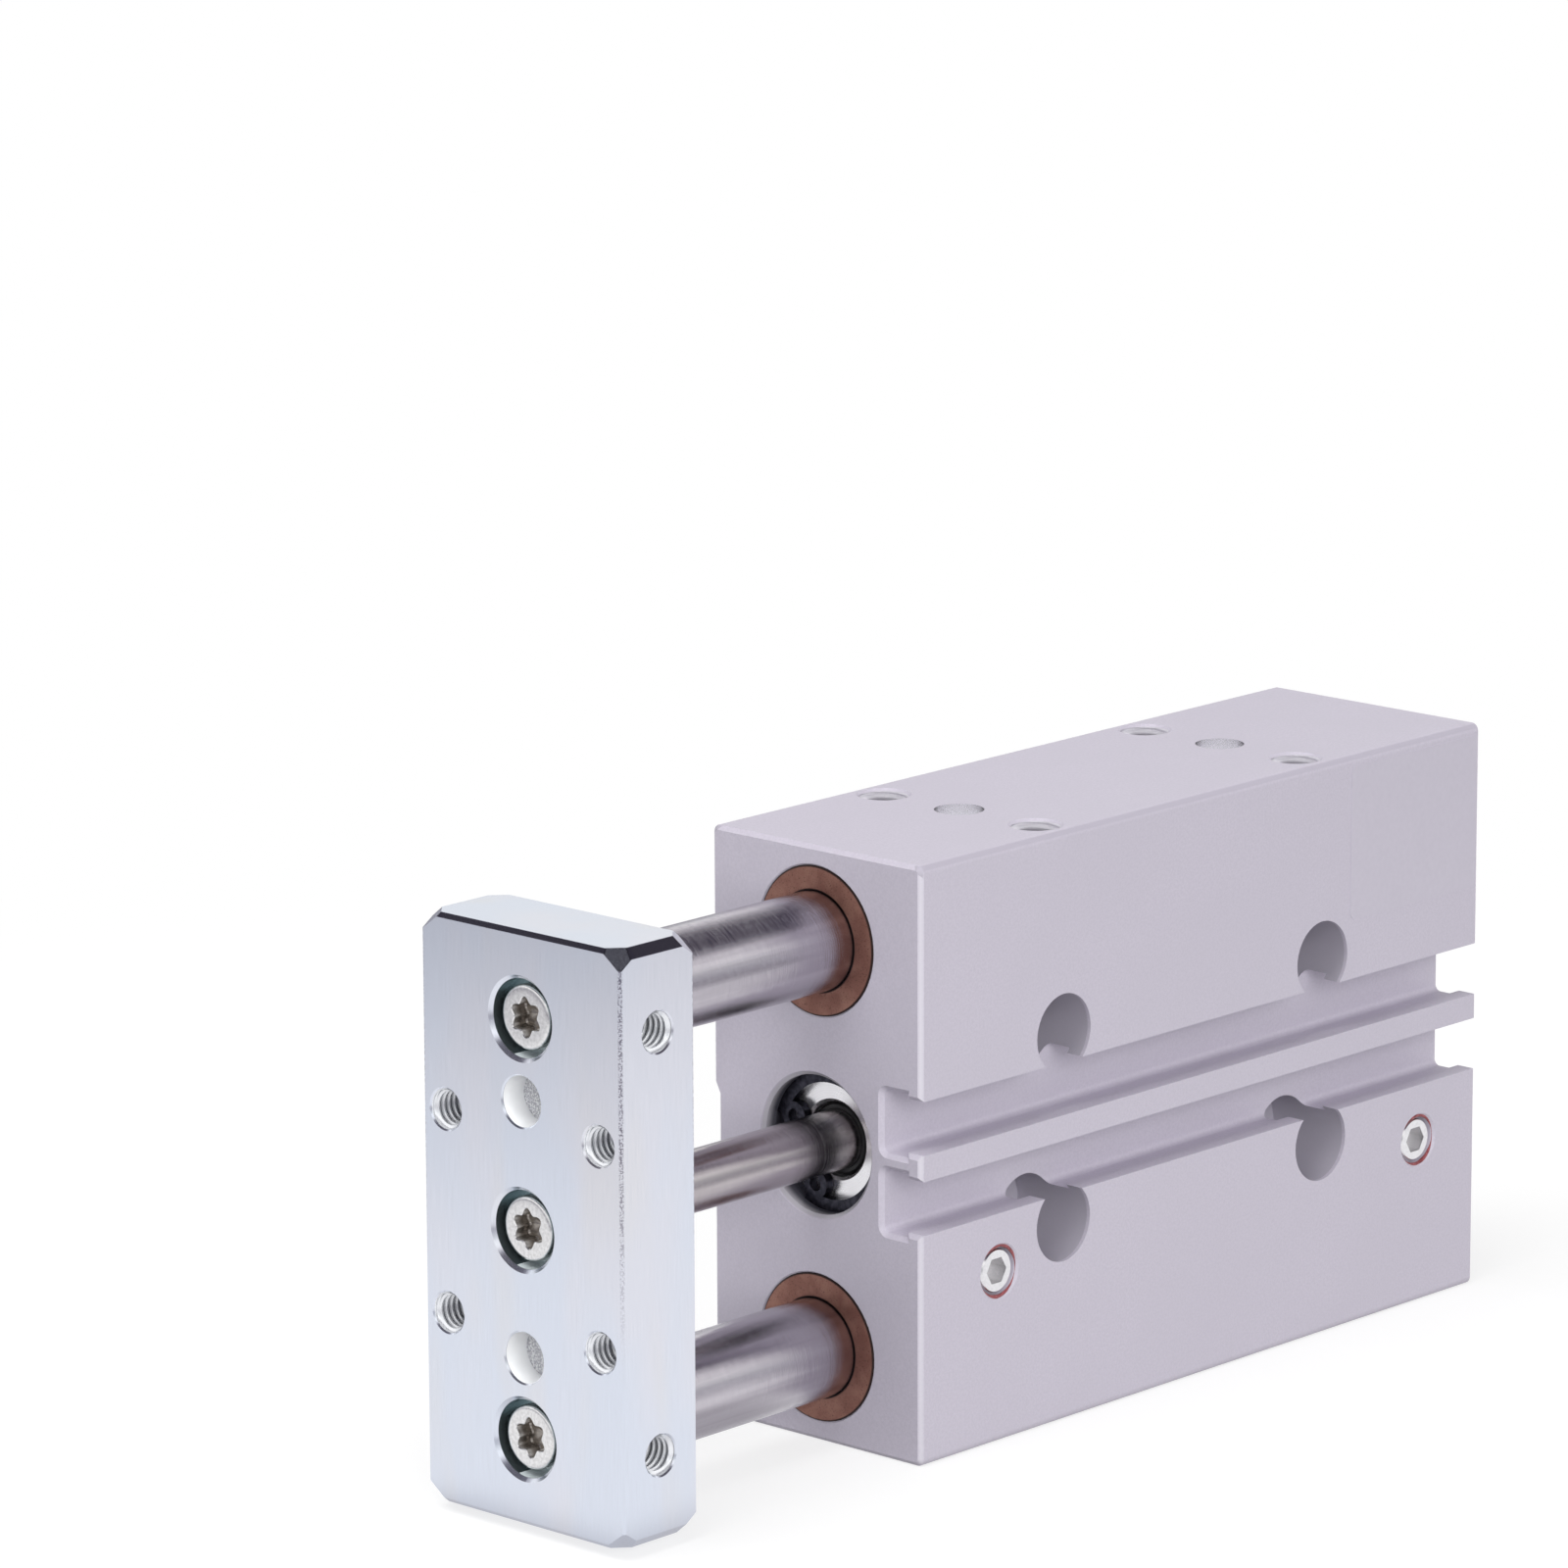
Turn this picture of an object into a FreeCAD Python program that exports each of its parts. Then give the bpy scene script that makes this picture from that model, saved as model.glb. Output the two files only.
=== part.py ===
import FreeCAD, Part
import math
import os
import Sketcher

# Guided pneumatic cylinder, 12 mm bore and 50 mm stroke, with two plain-bearing guide rods and a yoke plate.
# +X is the way the rods extend, +Z is up, and the slotted face looks along +Y.
# The origin is the middle of the housing's base face. Lengths are in millimetres.

doc = FreeCAD.newDocument("guided_cylinder")
sheet = doc.addObject("Spreadsheet::Sheet", "Sizes")

SIZES = {
    # housing block
    "body_length": 86.5, "body_width": 27.5, "body_height": 60.0, "edge_round": 0.8, "end_bevel": 0.45,
    # what travels, and where it rests
    "stroke": 50.0, "extension": 29.0, "closed_gap": 1.75,
    "bore_dia": 12.0, "piston_rod_dia": 6.0, "guide_rod_dia": 10.0, "rod_pitch": 41.0,
    # fits, each a gap on the radius
    "slide_fit": 0.02, "seal_fit": 0.03, "seat_fit": 0.02, "loose_fit": 0.15,
    # guide bushes and their bores
    "bush_wall": 2.5, "bush_length": 12.0, "bush_gap": 6.0, "bush_bevel": 0.5, "guide_relief": 1.0,
    "guide_end_gap": 2.5, "mouth_bevel": 0.4, "bush_mouth_bevel": 0.15,
    # small turned edges, from the finest to the boldest
    "edge_break": 0.2, "turned_bevel": 0.3, "rod_bevel": 0.4, "guide_tail_bevel": 1.0,
    # cylinder ends: pockets for the gland and the rear cap, each held by a circlip
    "cap_step": 1.0, "clip_step": 0.4, "clip_thickness": 1.0, "clip_play": 0.1, "front_clip_inset": 1.75,
    "rear_clip_inset": 1.4,
    "clip_width": 1.5, "lug_rod_gap": 0.4, "lug_margin": 0.5, "lug_hole_margin": 0.75, "lug_gap": 1.2,
    "lug_turn": 45.0,
    "gland_length": 7.5, "rear_cap_length": 6.0, "ring_groove": 1.5, "ring_depth": 1.2, "ring_inset": 1.8,
    "wiper_gap": 0.8, "wiper_lip": 1.0, "wiper_inset": 0.5, "rod_seal_wall": 2.0, "rod_seal_width": 2.6,
    "seal_play": 0.02, "seal_lip": 0.6, "seal_notch": 0.9, "rod_bearing_wall": 1.0, "rod_bearing_length": 3.7,
    "cap_dish_dia": 4.8, "cap_dish_depth": 1.2,
    "cushion_thickness": 2.0, "cushion_side_gap": 0.8, "cushion_gap": 0.75, "cushion_rod_gap": 0.5,
    # piston
    "piston_fit": 0.1, "piston_land": 1.0, "seal_groove": 1.9, "seal_height": 1.7, "band_width": 2.0,
    "band_height": 0.6, "inner_land": 0.7, "magnet_width": 2.2, "magnet_dip": 0.2, "hub_wall": 0.8,
    "tail_land": 1.3, "spigot_dia": 4.0, "nut_wall": 0.85, "nut_height": 2.2, "nut_pocket": 2.4,
    "nut_slot": 1.0, "nut_slot_depth": 0.9,
    # slots and cross holes of the side face
    "slot_opening": 5.4, "slot_rib": 2.6, "slot_lip": 2.0, "slot_depth": 5.1, "slot_undercut": 0.5,
    "slot_corner": 0.7, "back_groove_width": 8.0, "back_groove_depth": 0.6,
    "hole_first": 21.0, "hole_pitch": 40.0, "hole_rise": 9.6, "hole_dia": 4.3,
    "counterbore_dia": 8.0, "counterbore_depth": 9.5,
    # air ports
    "port_first": 11.5, "port_last": 9.5, "port_drop": 12.6, "port_dia": 5.0, "port_depth": 7.0,
    "port_bevel": 0.35, "passage_dia": 1.6, "passage_rise": 1.25, "plug_length": 4.0, "plug_inset": 0.4,
    "plug_face_bevel": 0.4, "plug_tip_bevel": 0.5,
    "plug_hex": 2.5, "plug_hex_depth": 2.2,
    # threads and centring recesses of the top
    "end_thread_dia": 5.0, "end_thread_depth": 7.5, "end_thread_spread": 20.0, "thread_bevel": 0.25,
    "centring_dia": 5.0, "centring_depth": 1.5,
    # yoke plate
    "plate_height": 58.0, "plate_width": 26.0, "plate_thickness": 10.0,
    "plate_long_bevel": 0.95, "plate_end_bevel": 0.45, "plate_side_bevel": 0.25,
    "corner_cut_along": 3.0, "corner_cut_across": 2.7, "corner_cut_up": 2.0,
    "rod_seat": 3.0, "mouth_break": 0.15, "pattern_pitch": 20.0, "plate_thread_dia": 4.0, "pin_pitch": 25.0,
    "pin_dia": 5.0,
    "pin_depth": 3.0, "side_thread_depth": 6.5,
    # yoke screws
    "head_dia": 7.0, "head_height": 2.8, "head_inset": 0.7, "head_gap": 0.35, "head_bevel": 0.35,
    "screw_dia": 4.0, "screw_length": 12.0, "screw_tip_bevel": 0.5, "tapping_extra": 1.5, "drill_point": 1.0,
    "lobe_circle": 1.45, "lobe_dia": 0.95, "lobe_core": 2.7, "lobe_depth": 1.8,
}


class Size(float):
    """A number together with the sheet expression that gives it."""

    def __new__(cls, value, text):
        size = float.__new__(cls, value)
        size.text = text
        return size

    def __add__(self, other):
        return joined(self, "+", other, float(self) + float(other))

    def __radd__(self, other):
        return joined(other, "+", self, float(other) + float(self))

    def __sub__(self, other):
        return joined(self, "-", other, float(self) - float(other))

    def __rsub__(self, other):
        return joined(other, "-", self, float(other) - float(self))

    def __mul__(self, other):
        return joined(self, "*", other, float(self) * float(other))

    def __rmul__(self, other):
        return joined(other, "*", self, float(other) * float(self))

    def __truediv__(self, other):
        return joined(self, "/", other, float(self) / float(other))

    def __neg__(self):
        return Size(-float(self), "-" + self.text)


def text_of(value):
    return value.text if isinstance(value, Size) else "%.6f" % value


def joined(left, sign, right, value):
    return Size(value, "(%s %s %s)" % (text_of(left), sign, text_of(right)))


def cosine(angle):
    return Size(math.cos(math.radians(angle)), "cos(%s * 1 deg)" % text_of(angle))


def sine(angle):
    return Size(math.sin(math.radians(angle)), "sin(%s * 1 deg)" % text_of(angle))


def slope(rise, run):
    """The angle, in degrees, of a line that climbs by rise over run."""
    return Size(math.degrees(math.atan2(rise, run)), "atan(%s / %s)" % (text_of(rise), text_of(run)))


def diagonal(rise, run):
    """The length of a line that climbs by rise over run."""
    return Size(math.hypot(rise, run), "sqrt(%s ^ 2 + %s ^ 2)" % (text_of(rise), text_of(run)))


for row, (alias, value) in enumerate(SIZES.items(), 1):
    sheet.set("A%d" % row, alias)
    sheet.set("B%d" % row, str(value))
    sheet.setAlias("B%d" % row, alias)
doc.recompute()
S = {alias: Size(value, "Sizes." + alias) for alias, value in SIZES.items()}


# ---------------------------------------------------------------- building blocks

def bind(item, prop, value):
    """Give a property its value, and its sheet expression where it has one."""
    if isinstance(value, Size):
        item.setExpression(prop, value.text)
    elif "." in prop:
        item.setExpression(prop, text_of(value))
    else:
        setattr(item, prop, value)


def body(label, x=0.0, y=0.0, z=0.0, turn=0.0):
    """A new body at its place in the assembly, turned about its own X axis."""
    item = doc.addObject("PartDesign::Body", label)
    item.Label = label
    item.Placement = FreeCAD.Placement(FreeCAD.Vector(float(x), float(y), float(z)),
                                       FreeCAD.Rotation(FreeCAD.Vector(1, 0, 0), turn))
    for axis, value in (("x", x), ("y", y), ("z", z)):
        if isinstance(value, Size):
            item.setExpression("Placement.Base." + axis, value.text)
    return item


def origin_part(owner, role):
    return next(part for part in owner.Origin.OriginFeatures if part.Role == role)


def sketch(owner, plane, name, across=0.0, up=0.0, out=0.0, tilt=0.0):
    """An empty sketch on an origin plane, shifted in the plane and along its normal."""
    item = owner.newObject("Sketcher::SketchObject", name)
    item.AttachmentSupport = [(origin_part(owner, plane), "")]
    item.MapMode = "FlatFace"
    item.AttachmentOffset = FreeCAD.Placement(FreeCAD.Vector(float(across), float(up), float(out)),
                                              FreeCAD.Rotation(FreeCAD.Vector(1, 0, 0), float(tilt)))
    for axis, value in (("x", across), ("y", up), ("z", out)):
        if isinstance(value, Size):
            item.setExpression("AttachmentOffset.Base." + axis, value.text)
    if isinstance(tilt, Size):
        item.setExpression("AttachmentOffset.Rotation.Angle", tilt.text)
    return item


def pin_point(item, geometry, position, x, y):
    """Fix one point of a sketch by its two distances from the sketch's origin."""
    for kind, value in (("DistanceX", x), ("DistanceY", y)):
        index = item.addConstraint(Sketcher.Constraint(kind, -1, 1, geometry, position, float(value)))
        if isinstance(value, Size):
            item.setExpression("Constraints[%d]" % index, value.text)


def outline(item, points):
    """A closed outline of straight edges through the given points."""
    first = item.GeometryCount
    count = len(points)
    for i in range(count):
        a, b = points[i], points[(i + 1) % count]
        item.addGeometry(Part.LineSegment(FreeCAD.Vector(float(a[0]), float(a[1]), 0),
                                          FreeCAD.Vector(float(b[0]), float(b[1]), 0)))
    for i in range(count):
        item.addConstraint(Sketcher.Constraint("Coincident", first + i, 2, first + (i + 1) % count, 1))
    for i, (x, y) in enumerate(points):
        pin_point(item, first + i, 1, x, y)
    return item


def circle(item, x, y, radius):
    geometry = item.addGeometry(Part.Circle(FreeCAD.Vector(float(x), float(y), 0),
                                            FreeCAD.Vector(0, 0, 1), float(radius)))
    pin_point(item, geometry, 3, x, y)
    index = item.addConstraint(Sketcher.Constraint("Radius", geometry, float(radius)))
    if isinstance(radius, Size):
        item.setExpression("Constraints[%d]" % index, radius.text)
    return item


def pad(owner, profile, length, both=False, back=False):
    item = owner.newObject("PartDesign::Pad", profile.Name + "_pad")
    item.Profile = profile
    item.Midplane = both
    item.Reversed = back
    bind(item, "Length", length)
    doc.recompute()
    return item


def pocket(owner, profile, depth, both=False, back=False):
    """A pocket that has to remove material: a cut into thin air stops the build."""
    before = owner.Tip.Shape.Volume
    item = owner.newObject("PartDesign::Pocket", profile.Name + "_pocket")
    item.Profile = profile
    item.Midplane = both
    item.Reversed = back
    bind(item, "Length", depth)
    doc.recompute()
    if not item.Shape.Volume < before - 1e-4:
        raise ValueError(item.Name + " removes nothing")
    return item


def turned(owner, profile, axis="H_Axis"):
    item = owner.newObject("PartDesign::Revolution", profile.Name + "_turned")
    item.Profile = profile
    item.ReferenceAxis = (profile, [axis])
    item.Angle = 360.0
    doc.recompute()
    return item


def bored(owner, profile, axis="H_Axis"):
    """A turned cut, which has to remove material."""
    before = owner.Tip.Shape.Volume
    item = owner.newObject("PartDesign::Groove", profile.Name + "_bored")
    item.Profile = profile
    item.ReferenceAxis = (profile, [axis])
    item.Angle = 360.0
    doc.recompute()
    if not item.Shape.Volume < before - 1e-4:
        raise ValueError(item.Name + " removes nothing")
    return item


def mirrored(owner, originals, plane):
    item = owner.newObject("PartDesign::Mirrored", originals[-1].Name + "_mirrored")
    item.Originals = originals
    item.MirrorPlane = (origin_part(owner, plane), [""])
    owner.Tip = item
    doc.recompute()
    return item


def around(owner, originals, count):
    item = owner.newObject("PartDesign::PolarPattern", originals[-1].Name + "_around")
    item.Originals = originals
    item.Axis = (origin_part(owner, "X_Axis"), [""])
    item.Angle = 360.0
    item.Occurrences = count
    owner.Tip = item
    doc.recompute()
    return item


def repeated(owner, axis, length, count):
    """The whole body again along an axis, as separate solids of one group."""
    item = owner.newObject("PartDesign::LinearPattern", owner.Name + "_repeated")
    item.TransformMode = "Whole shape"
    item.Direction = (origin_part(owner, axis), [""])
    bind(item, "Length", length)
    item.Occurrences = count
    owner.Tip = item
    doc.recompute()
    return item


def edges_where(feature, test):
    return ["Edge%d" % (i + 1) for i, edge in enumerate(feature.Shape.Edges) if test(edge)]


def dressed(owner, kind, test, prop, size):
    """A fillet or a chamfer on each edge of the tip that passes the test."""
    base = owner.Tip
    names = edges_where(base, test)
    if not names:
        raise ValueError(owner.Name + ": no edge for " + kind)
    item = owner.newObject("PartDesign::" + kind, base.Name + "_" + kind.lower())
    item.Base = (base, names)
    bind(item, prop, size)
    doc.recompute()
    return item


def fillet(owner, test, radius):
    return dressed(owner, "Fillet", test, "Radius", radius)


def chamfer(owner, test, size):
    return dressed(owner, "Chamfer", test, "Size", size)


def straight_along(edge, axis):
    """True for a straight edge that runs along one axis, given as 0, 1 or 2."""
    if edge.Curve.TypeId != "Part::GeomLine":
        return False
    step = edge.Vertexes[-1].Point - edge.Vertexes[0].Point
    return abs(abs(step[axis]) - step.Length) < 1e-6


def mouth_at(edge, axis, place, radius):
    """True for a full circle of this radius that lies in the plane at this place on an axis."""
    curve = edge.Curve
    return (curve.TypeId == "Part::GeomCircle" and len(edge.Vertexes) == 1
            and abs(curve.Radius - float(radius)) < 1e-4
            and abs(abs(curve.Center[axis]) - float(place)) < 1e-4)


# ---------------------------------------------------------------- places along the stroke

half_length, half_width, half_height = S["body_length"] / 2, S["body_width"] / 2, S["body_height"] / 2
half_pitch = S["rod_pitch"] / 2
bore_r, cap_r = S["bore_dia"] / 2, S["bore_dia"] / 2 + S["cap_step"]
groove_r = cap_r + S["clip_step"]
guide_r, rod_r = S["guide_rod_dia"] / 2, S["piston_rod_dia"] / 2
bush_r = guide_r + S["bush_wall"]
relief_r = guide_r + S["guide_relief"]

clip_front = half_length - S["front_clip_inset"]
gland_front = clip_front - S["clip_thickness"] - S["clip_play"]
chamber_front = gland_front - S["gland_length"]
clip_rear = S["rear_clip_inset"] - half_length
cap_rear = clip_rear + S["clip_thickness"] + S["clip_play"]
chamber_rear = cap_rear + S["rear_cap_length"]

hub_start = S["piston_land"] + S["seal_groove"] + S["inner_land"] + S["band_width"] + S["inner_land"]
tail_start = hub_start + S["magnet_width"]
piston_length = tail_start + S["inner_land"] + S["seal_groove"] + S["tail_land"]
piston_closed = chamber_rear + S["cushion_thickness"] + S["cushion_gap"] + piston_length
piston_front = piston_closed + S["extension"]
plate_back = half_length + S["closed_gap"] + S["extension"]
rod_front = plate_back + S["rod_seat"]
piston_rod_length = rod_front - piston_front
guide_rod_length = (S["body_length"] - S["guide_end_gap"]) + S["closed_gap"] + S["rod_seat"]
screw_seat = S["plate_thickness"] - S["head_inset"] - S["head_height"]

# ---------------------------------------------------------------- housing

# An extruded block: rounded long edges, two T-slots in one wide face and a shallow groove in the other.
housing = body("housing", z=half_height)
block = sketch(housing, "YZ_Plane", "block")
outline(block, [(-half_width, -half_height), (half_width, -half_height),
                (half_width, half_height), (-half_width, half_height)])
pad(housing, block, S["body_length"], both=True)
fillet(housing, lambda e: straight_along(e, 0), S["edge_round"])

slots = sketch(housing, "YZ_Plane", "slots")
lip, floor = half_width - S["slot_lip"], half_width - S["slot_depth"]
for side in (1, -1):
    near, far = side * (S["slot_rib"] / 2), side * (S["slot_rib"] / 2 + S["slot_opening"])
    inner, outer = near - side * S["slot_undercut"], far + side * S["slot_undercut"]
    outline(slots, [(half_width + 1, near), (half_width + 1, far), (lip, far), (lip, outer),
                    (floor, outer), (floor, inner), (lip, inner), (lip, near)])
pocket(housing, slots, S["body_length"] + 2, both=True)
fillet(housing, lambda e: straight_along(e, 0) and abs(e.CenterOfMass.y - float(floor)) < 1e-6, S["slot_corner"])

back_groove = sketch(housing, "YZ_Plane", "back_groove")
wide, deep = S["back_groove_width"] / 2, S["back_groove_depth"]
outline(back_groove, [(-half_width - 1, wide + 1 + deep), (-half_width - 1, -wide - 1 - deep),
                      (-half_width, -wide), (deep - half_width, 2 * deep - wide),
                      (deep - half_width, wide - 2 * deep), (-half_width, wide)])
pocket(housing, back_groove, S["body_length"] + 2, both=True)
chamfer(housing, lambda e: abs(abs(e.CenterOfMass.x) - float(half_length)) < 1e-6, S["end_bevel"])

# The cylinder bore, wider at both ends for the gland and the rear cap, with a circlip groove in each end.
cylinder = sketch(housing, "XZ_Plane", "cylinder")
bevel = S["mouth_bevel"]
outline(cylinder, [(half_length + 1, 0), (half_length + 1, cap_r + bevel + 1), (half_length - bevel, cap_r),
                   (clip_front, cap_r), (clip_front, groove_r), (gland_front, groove_r), (gland_front, cap_r),
                   (chamber_front, cap_r), (chamber_front, bore_r), (chamber_rear, bore_r),
                   (chamber_rear, cap_r), (cap_rear, cap_r), (cap_rear, groove_r), (clip_rear, groove_r),
                   (clip_rear, cap_r), (bevel - half_length, cap_r), (-half_length - 1, cap_r + bevel + 1),
                   (-half_length - 1, 0)])
bored(housing, cylinder)

# Two guide bores, full size where the bushes sit and wider than the rod behind them.
bush_end = half_length - 2 * S["bush_length"] - S["bush_gap"]
guide_bore = sketch(housing, "XZ_Plane", "guide_bore", up=half_pitch)
mouth = S["bush_mouth_bevel"]
outline(guide_bore, [(half_length + 1, 0), (half_length + 1, bush_r + mouth + 1), (half_length - mouth, bush_r),
                     (bush_end, bush_r), (bush_end, relief_r), (bevel - half_length, relief_r),
                     (-half_length - 1, relief_r + bevel + 1), (-half_length - 1, 0)])
mirrored(housing, [bored(housing, guide_bore)], "XY_Plane")

# Four screw holes right through, counterbored from the slotted face between the bores.
hole_x = [half_length - S["hole_first"], half_length - S["hole_first"] - S["hole_pitch"]]
cross_holes = sketch(housing, "XZ_Plane", "cross_holes")
counterbores = sketch(housing, "XZ_Plane", "counterbores", out=-half_width)
for x in hole_x:
    for side in (1, -1):
        circle(cross_holes, x, side * S["hole_rise"], S["hole_dia"] / 2)
        circle(counterbores, x, side * S["hole_rise"], S["counterbore_dia"] / 2)
pocket(housing, cross_holes, S["body_width"] + 2, both=True)
pocket(housing, counterbores, S["counterbore_depth"], back=True)

# Threaded air ports on both wide faces, each with a slanted passage to its end of the chamber.
port_x = [half_length - S["port_first"], S["port_last"] - half_length]
ports = sketch(housing, "XZ_Plane", "ports", out=-half_width)
for x in port_x:
    circle(ports, x, -S["port_drop"], S["port_dia"] / 2)
mirrored(housing, [pocket(housing, ports, S["port_depth"], back=True)], "XZ_Plane")
port_mouth = S["port_dia"] / 2
chamfer(housing, lambda e: mouth_at(e, 1, half_width, port_mouth), S["port_bevel"])
passage_start = half_width - S["port_depth"] + S["passage_rise"]
passages = sketch(housing, "XY_Plane", "passages", up=passage_start, out=-S["port_drop"],
                  tilt=slope(passage_start, S["port_drop"]))
for x in port_x:
    circle(passages, x, 0.0, S["passage_dia"] / 2)
mirrored(housing, [pocket(housing, passages, diagonal(passage_start, S["port_drop"]) - bore_r + S["passage_rise"] / 4,
                          back=True)], "XZ_Plane")

# Threads and shallow centring recesses in rows of three, on the top.
end_threads = sketch(housing, "XY_Plane", "end_threads", out=half_height)
centrings = sketch(housing, "XY_Plane", "centrings", out=half_height)
for x in hole_x:
    circle(centrings, x, 0.0, S["centring_dia"] / 2)
    for side in (1, -1):
        circle(end_threads, x, side * S["end_thread_spread"] / 2, S["end_thread_dia"] / 2)
pocket(housing, end_threads, S["end_thread_depth"])
pocket(housing, centrings, S["centring_depth"])
thread_mouth = S["end_thread_dia"] / 2
chamfer(housing, lambda e: mouth_at(e, 2, half_height, thread_mouth) and abs(e.Curve.Center.y) > 1,
        S["thread_bevel"])

# ---------------------------------------------------------------- guide bushes

# Sintered bronze sleeves: two in a row for each guide rod, the front one flush with the housing.
bush_places = {"front": half_length - S["bush_length"], "rear": bush_end}
for row_name, x in bush_places.items():
    for level, side in (("upper", 1), ("lower", -1)):
        bush = body("bush_%s_%s" % (row_name, level), x=x, z=half_height + side * half_pitch)
        wall = sketch(bush, "XZ_Plane", bush.Name + "_wall")
        inner, length, cut = guide_r + S["slide_fit"], S["bush_length"], S["bush_bevel"]
        edge = S["edge_break"]
        outline(wall, [(0, inner + cut), (cut, inner), (length - cut, inner), (length, inner + cut),
                       (length, bush_r - edge), (length - edge, bush_r), (edge, bush_r), (0, bush_r - edge)])
        turned(bush, wall)

# ---------------------------------------------------------------- front end of the cylinder

# The gland is a turned bush that closes the front and carries the rod's bearing, seal and outer ring.
gland = body("rod_gland", x=gland_front)
gland_wall = sketch(gland, "XZ_Plane", "gland_wall")
gland.setExpression("Placement.Base.z", half_height.text)
gland_r, cavity_r, opening_r = cap_r - S["seat_fit"], rod_r + S["rod_seal_wall"], rod_r + S["wiper_gap"]
bearing_r, cut, edge = rod_r + S["rod_bearing_wall"], S["turned_bevel"], S["edge_break"]
seal_start = -S["wiper_lip"]
seal_end = seal_start - S["rod_seal_width"]
ring_front, ring_rear = -S["gland_length"] + S["ring_inset"] + S["ring_groove"], S["ring_inset"] - S["gland_length"]
outline(gland_wall, [(0, opening_r + cut), (-cut, opening_r), (seal_start, opening_r), (seal_start, cavity_r),
                     (seal_end, cavity_r), (seal_end, bearing_r), (-S["gland_length"], bearing_r),
                     (-S["gland_length"], gland_r - cut), (cut - S["gland_length"], gland_r), (ring_rear, gland_r),
                     (ring_rear, cap_r - S["ring_depth"]), (ring_front, cap_r - S["ring_depth"]),
                     (ring_front, gland_r), (-edge, gland_r), (0, gland_r - edge)])
turned(gland, gland_wall)

# One elastomer seal with a pressure lip inside and a wiper lip that shows round the rod.
rod_seal = body("rod_seal", x=gland_front, z=half_height)
seal_wall = sketch(rod_seal, "XZ_Plane", "seal_wall")
touch, play, lip_wall, notch = rod_r + S["seal_fit"], S["seal_play"], S["seal_lip"], S["seal_notch"]
seal_front, seal_back, seal_outer = seal_start - play, seal_end + play, cavity_r - play
outline(seal_wall, [(-S["wiper_inset"], touch), (-S["wiper_inset"], touch + lip_wall * 0.6),
                    (seal_front, opening_r - play * 5), (seal_front, seal_outer), (seal_back, seal_outer),
                    (seal_back, cavity_r - lip_wall), (seal_end + notch, (rod_r + cavity_r) / 2),
                    (seal_back, rod_r + lip_wall), (seal_back, touch), (seal_end + notch / 2, touch),
                    (seal_start, rod_r + lip_wall / 2), (-S["wiper_inset"] - lip_wall, touch + lip_wall / 6)])
turned(rod_seal, seal_wall)

rod_bearing = body("rod_bearing", x=gland_front - S["gland_length"], z=half_height)
bearing_wall = sketch(rod_bearing, "XZ_Plane", "bearing_wall")
run_r = rod_r + S["slide_fit"]
outline(bearing_wall, [(0, run_r + cut), (cut, run_r), (S["rod_bearing_length"] - cut, run_r),
                       (S["rod_bearing_length"], run_r + cut), (S["rod_bearing_length"], bearing_r),
                       (0, bearing_r)])
turned(rod_bearing, bearing_wall)


def ring_seal(label, x):
    """An O-ring squeezed between the floor of its groove and the pocket wall."""
    ring = body(label, x=x, z=half_height)
    section = sketch(ring, "XZ_Plane", label + "_section")
    circle(section, 0.0, cap_r - S["ring_depth"] / 2, S["ring_depth"] / 2)
    turned(ring, section)
    return ring


ring_seal("gland_ring", gland_front + (ring_front + ring_rear) / 2)


def circlip(label, x, turn):
    """A bore circlip: a flat open ring with an eyed lug at each end of its gap, which faces local -Y."""
    clip = body(label, x=x, z=half_height, turn=turn)
    ring = sketch(clip, "YZ_Plane", label + "_ring")
    outer = groove_r - S["seat_fit"]
    circle(ring, 0.0, 0.0, outer)
    circle(ring, S["clip_width"] / 8, 0.0, outer - S["clip_width"])
    pad(clip, ring, S["clip_thickness"])
    gap = sketch(clip, "YZ_Plane", label + "_gap")
    reach, start = outer + 1, S["lug_gap"]
    outline(gap, [(-start / 2, 0), (-reach, reach - start), (-reach, start - reach)])
    pocket(clip, gap, S["clip_thickness"] * 2, both=True)
    lugs = sketch(clip, "YZ_Plane", label + "_lugs")
    eyes = sketch(clip, "YZ_Plane", label + "_eyes")
    along, across = cosine(S["lug_turn"]), sine(S["lug_turn"])
    lug_r = (cap_r - rod_r) / 2 - S["lug_margin"]
    lug_circle = rod_r + S["lug_rod_gap"] + lug_r
    for side in (1, -1):
        circle(lugs, -lug_circle * along, side * (lug_circle * across), lug_r)
        circle(eyes, -lug_circle * along, side * (lug_circle * across), lug_r - S["lug_hole_margin"])
    pad(clip, lugs, S["clip_thickness"])
    pocket(clip, eyes, S["clip_thickness"] * 2, both=True)
    return clip


circlip("front_circlip", clip_front - S["clip_thickness"] - S["clip_play"] / 2, 24.0)

cushion_r, cushion_hole_r = bore_r - S["cushion_side_gap"], rod_r + S["cushion_rod_gap"]
front_cushion = body("front_cushion", x=chamber_front - S["cushion_thickness"], z=half_height)
cushion_wall = sketch(front_cushion, "XZ_Plane", "cushion_wall")
outline(cushion_wall, [(0, cushion_hole_r + cut), (cut, cushion_hole_r), (S["cushion_thickness"], cushion_hole_r),
                       (S["cushion_thickness"], cushion_r), (cut, cushion_r), (0, cushion_r - cut)])
turned(front_cushion, cushion_wall)

# ---------------------------------------------------------------- rear end of the cylinder

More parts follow.
